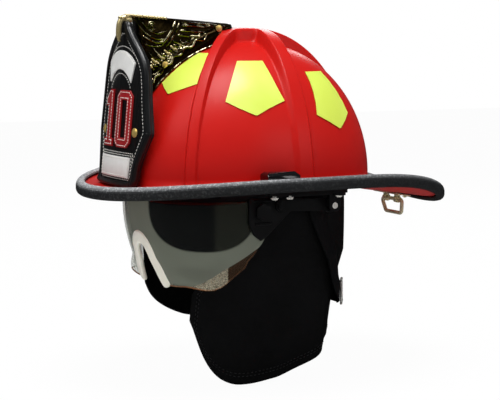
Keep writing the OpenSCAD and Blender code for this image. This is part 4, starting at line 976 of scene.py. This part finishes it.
# Neck protector: a curtain of flame-resistant black cloth, hemmed with a double row of stitches
# and hung from the headband by tabs. Its near flap is the longer one, as in the photograph.
cloth_half_w = [[-210, 57], [-150, 64], [-110, 74], [-75, 83], [-28, 86], [0, 86]]
cloth_rear = [[-210, 80], [-150, 87], [-110, 92], [-75, 101], [-28, 100], [0, 99]]
cloth_spread = [[-210, 147.5], [-110, 146], [-75, 130], [-50, 110], [-30, 96], [-10, 87]]
spread_far = [[-210, 152], [-110, 153], [-75, 149], [-50, 132], [-30, 98], [-10, 87]]
rear_z, low_z, nape_top_z, ear_top_z = -160.0, -201.0, -29.5, -14
cloth_t, cloth_y, cloth_front, cloth_square, far_ahead = 2.4, 5, 96, 0.83, 11
cloth_hem = [[-1, rear_z + 53], [-0.92, rear_z + 39], [-0.85, rear_z + 26], [-0.75, rear_z + 13],
             [-0.68, rear_z + 8], [-0.5, rear_z + 3], [0, rear_z], [0.2, mix(rear_z, low_z, 0.25)],
             [0.35, mix(rear_z, low_z, 0.5)], [0.5, mix(rear_z, low_z, 0.75)],
             [0.64, mix(rear_z, low_z, 0.95)], [0.73, low_z], [0.78, low_z + 1],
             [0.868, low_z + 13], [0.915, low_z + 29], [0.956, low_z + 47], [1, low_z + 72]]


def cloth_place(u, z, out):
    """Point of the curtain at angle u round the head from the nape and level z."""
    u = np.radians(u)
    half = table(cloth_half_w, z) + out
    ahead = np.where(u < 0, far_ahead * ease(-40, -75, z), 0)
    reach = np.where(np.cos(u) > 0, table(cloth_rear, z) - cloth_y, cloth_front + ahead) + out
    return np.stack([half * spow(np.sin(u), cloth_square),
                     cloth_y + reach * spow(np.cos(u), cloth_square), z + 0 * u], -1)


def cloth_point(s, t, out=0.0):
    """Point of the curtain from its far edge, s -1, to its near one, and from top to hem."""
    top = mix(nape_top_z, ear_top_z, ease(0.24, 0.42, np.abs(s)))
    hem_z = sum(table(cloth_hem, s + d) for d in (-0.04, -0.02, 0, 0.02, 0.04)) / 5
    z = mix(top, hem_z, t)
    fold = t * (1 - 0.6 * np.abs(s)) * 3.2 * np.sin(np.radians(1150 * s + 30)) \
        + 1.2 * t * np.sin(np.radians(500 * s))
    spread = np.where(s < 0, table(spread_far, z), table(cloth_spread, z))
    return cloth_place(s * spread, z, fold + out)


s, t = np.meshgrid(np.linspace(-1, 1, 181), np.linspace(0, 1, 61))
curtain = skin("neck_curtain", cloth_point(s, t), ring=False)
wall = curtain.modifiers.new("wall", "SOLIDIFY")
wall.thickness, wall.offset = cloth_t / 1000, -1
cloth = Finish("black_neck_cloth", "#0b0b0c", 0.95, Specular_IOR_Level=0.1)
weave = cloth.noise(1100, 2)
cloth.mottle(35, 4, "#090909", "#101011")
cloth.relief(weave * 0.5 + cloth.noise(60, 4) * 2.0, 0.4)
finish_piece(curtain, cloth, nodes=["neck_protector"])
hem = []
for inwards in (6.5, 9.0):
    far = np.linspace(0.25, 1 - inwards / 175, 60)
    along = np.concatenate([[(-1 + inwards / 210, v) for v in far],
                            [(v, 1 - inwards / 150) for v in np.linspace(-0.95, 0.95, 240)],
                            [(1 - inwards / 210, v) for v in far[::-1]]])
    run = cloth_point(along[:, 0], along[:, 1], 0.1)
    for at, ahead in walk(run, 4.2, False):
        hem.append(frame_of(at, ahead, at - Vector((0, cloth_y, at.z)), (1.2, 1.3, 1.3)))
hem_stitches = many("hem_stitches", stitch, hem)
black_thread = Finish("black_thread", "#1e1e20", 0.6)
black_thread.mottle(300, 2, "#101011", "#1b1b1d")
finish_piece(hem_stitches, black_thread)
soften("neck_tabs", webbing, 0.2)


# Chin strap: webbing round the back of the curtain, from an anchor at each side of the impact
# cap, with a buckle at the nape and a nickel-plated ladder slide.
soften("chin_strap", webbing, 0.3)
soften("strap_anchors", moulding, 0.6)
soften("strap_slide", nickel)
soften("buckle_socket", moulding, 0.6)
soften("buckle_plug", moulding, 0.5)


# Hanging ring: a brass wire ring held under the rear brim by a riveted plate.
pale_brass = brass_finish("pale_brass", "#d9cda2", "#fdf4d4", 0.36, 0.5)
soften("hanger_plate", pale_brass, 0.3)
soften("hanger_rivets", pale_brass, 0.3)
soften("hanger_ring", pale_brass, 0.0, 60)


# Studio: a white floor under the helmet, soft lamps, and a camera at the photograph's place.
floor_z, camera_away = -0.2035, 1.6
bpy.data.objects.remove(stitch)
bpy.ops.mesh.primitive_plane_add(size=8, location=(0, 0, 0))
floor = bpy.context.object
floor.name = "floor"
bpy.ops.object.mode_set(mode="EDIT")
bpy.ops.transform.translate(value=(0, 0, floor_z))
bpy.ops.object.mode_set(mode="OBJECT")
pale = Finish("pale_floor", "#f4f4f2", 0.8)
rays = pale.node("LightPath")
seen = rays.outputs["Is Camera Ray"]
mirrored = Amount(pale, rays.outputs["Is Glossy Ray"])
pale.feed("Base Color", pale.blend(mirrored, "#e4e4e2", "#3a3a3a"))
glow = pale.node("Emission", sockets={"Color": (1, 1, 1, 1), "Strength": 1.0})
cover = pale.node("MixShader", sockets={0: Amount(pale, seen) * 0.965, 1: pale.shader.outputs[0],
                                        2: glow.outputs[0]})
pale.tree.links.new(cover.outputs[0], pale.tree.nodes["Material Output"].inputs[0])
floor.data.materials.append(pale.material)

scene = bpy.context.scene
scene.view_settings.view_transform = "Standard"
world = scene.world or bpy.data.worlds.new("studio")
scene.world = world
world.use_nodes = True
tree = world.node_tree
sky = tree.nodes["Background"]
sky.inputs[0].default_value = (0.9, 0.93, 1, 1)
bright = tree.nodes.new("ShaderNodeBackground")
bright.inputs[0].default_value = (1, 1, 1, 1)
bright.inputs[1].default_value = 1.0
path = tree.nodes.new("ShaderNodeLightPath")
choose = tree.nodes.new("ShaderNodeMixShader")
dim = tree.nodes.new("ShaderNodeMapRange")
dim.inputs["To Min"].default_value, dim.inputs["To Max"].default_value = 0.38, 0.06
tree.links.new(path.outputs["Is Glossy Ray"], dim.inputs["Value"])
tree.links.new(dim.outputs[0], sky.inputs[1])
tree.links.new(path.outputs["Is Camera Ray"], choose.inputs[0])
tree.links.new(sky.outputs[0], choose.inputs[1])
tree.links.new(bright.outputs[0], choose.inputs[2])
tree.links.new(choose.outputs[0], tree.nodes["World Output"].inputs[0])

for name, spot, size, power in (
        ("key", (0.3, -1.6, 1.8), 1.6, 15), ("side", (1.7, 0.9, 0.7), 0.6, 2.2),
        ("top", (0.4, -0.1, 1.9), 1.1, 40), ("back", (-1.4, 0.9, 0.8), 0.7, 7)):
    lamp = bpy.data.lights.new(name, "AREA")
    lamp.shape = "DISK"
    lamp.size, lamp.energy = size, power
    stand = add_object(name, lamp)
    stand.location = spot
    stand.rotation_euler = (Vector((0, 0, 0)) - Vector(spot)).to_track_quat("-Z", "Y").to_euler()

back = Vector((0.8870, -0.4520, 0.0941))
camera = add_object("camera", bpy.data.cameras.new("camera"))
camera.location = back * camera_away
camera.rotation_euler = (-back).to_track_quat("-Z", "Y").to_euler()
camera.data.lens, camera.data.sensor_width = 115.2, 36
camera.data.shift_x, camera.data.shift_y = 0.0148, -0.054
scene.camera = camera
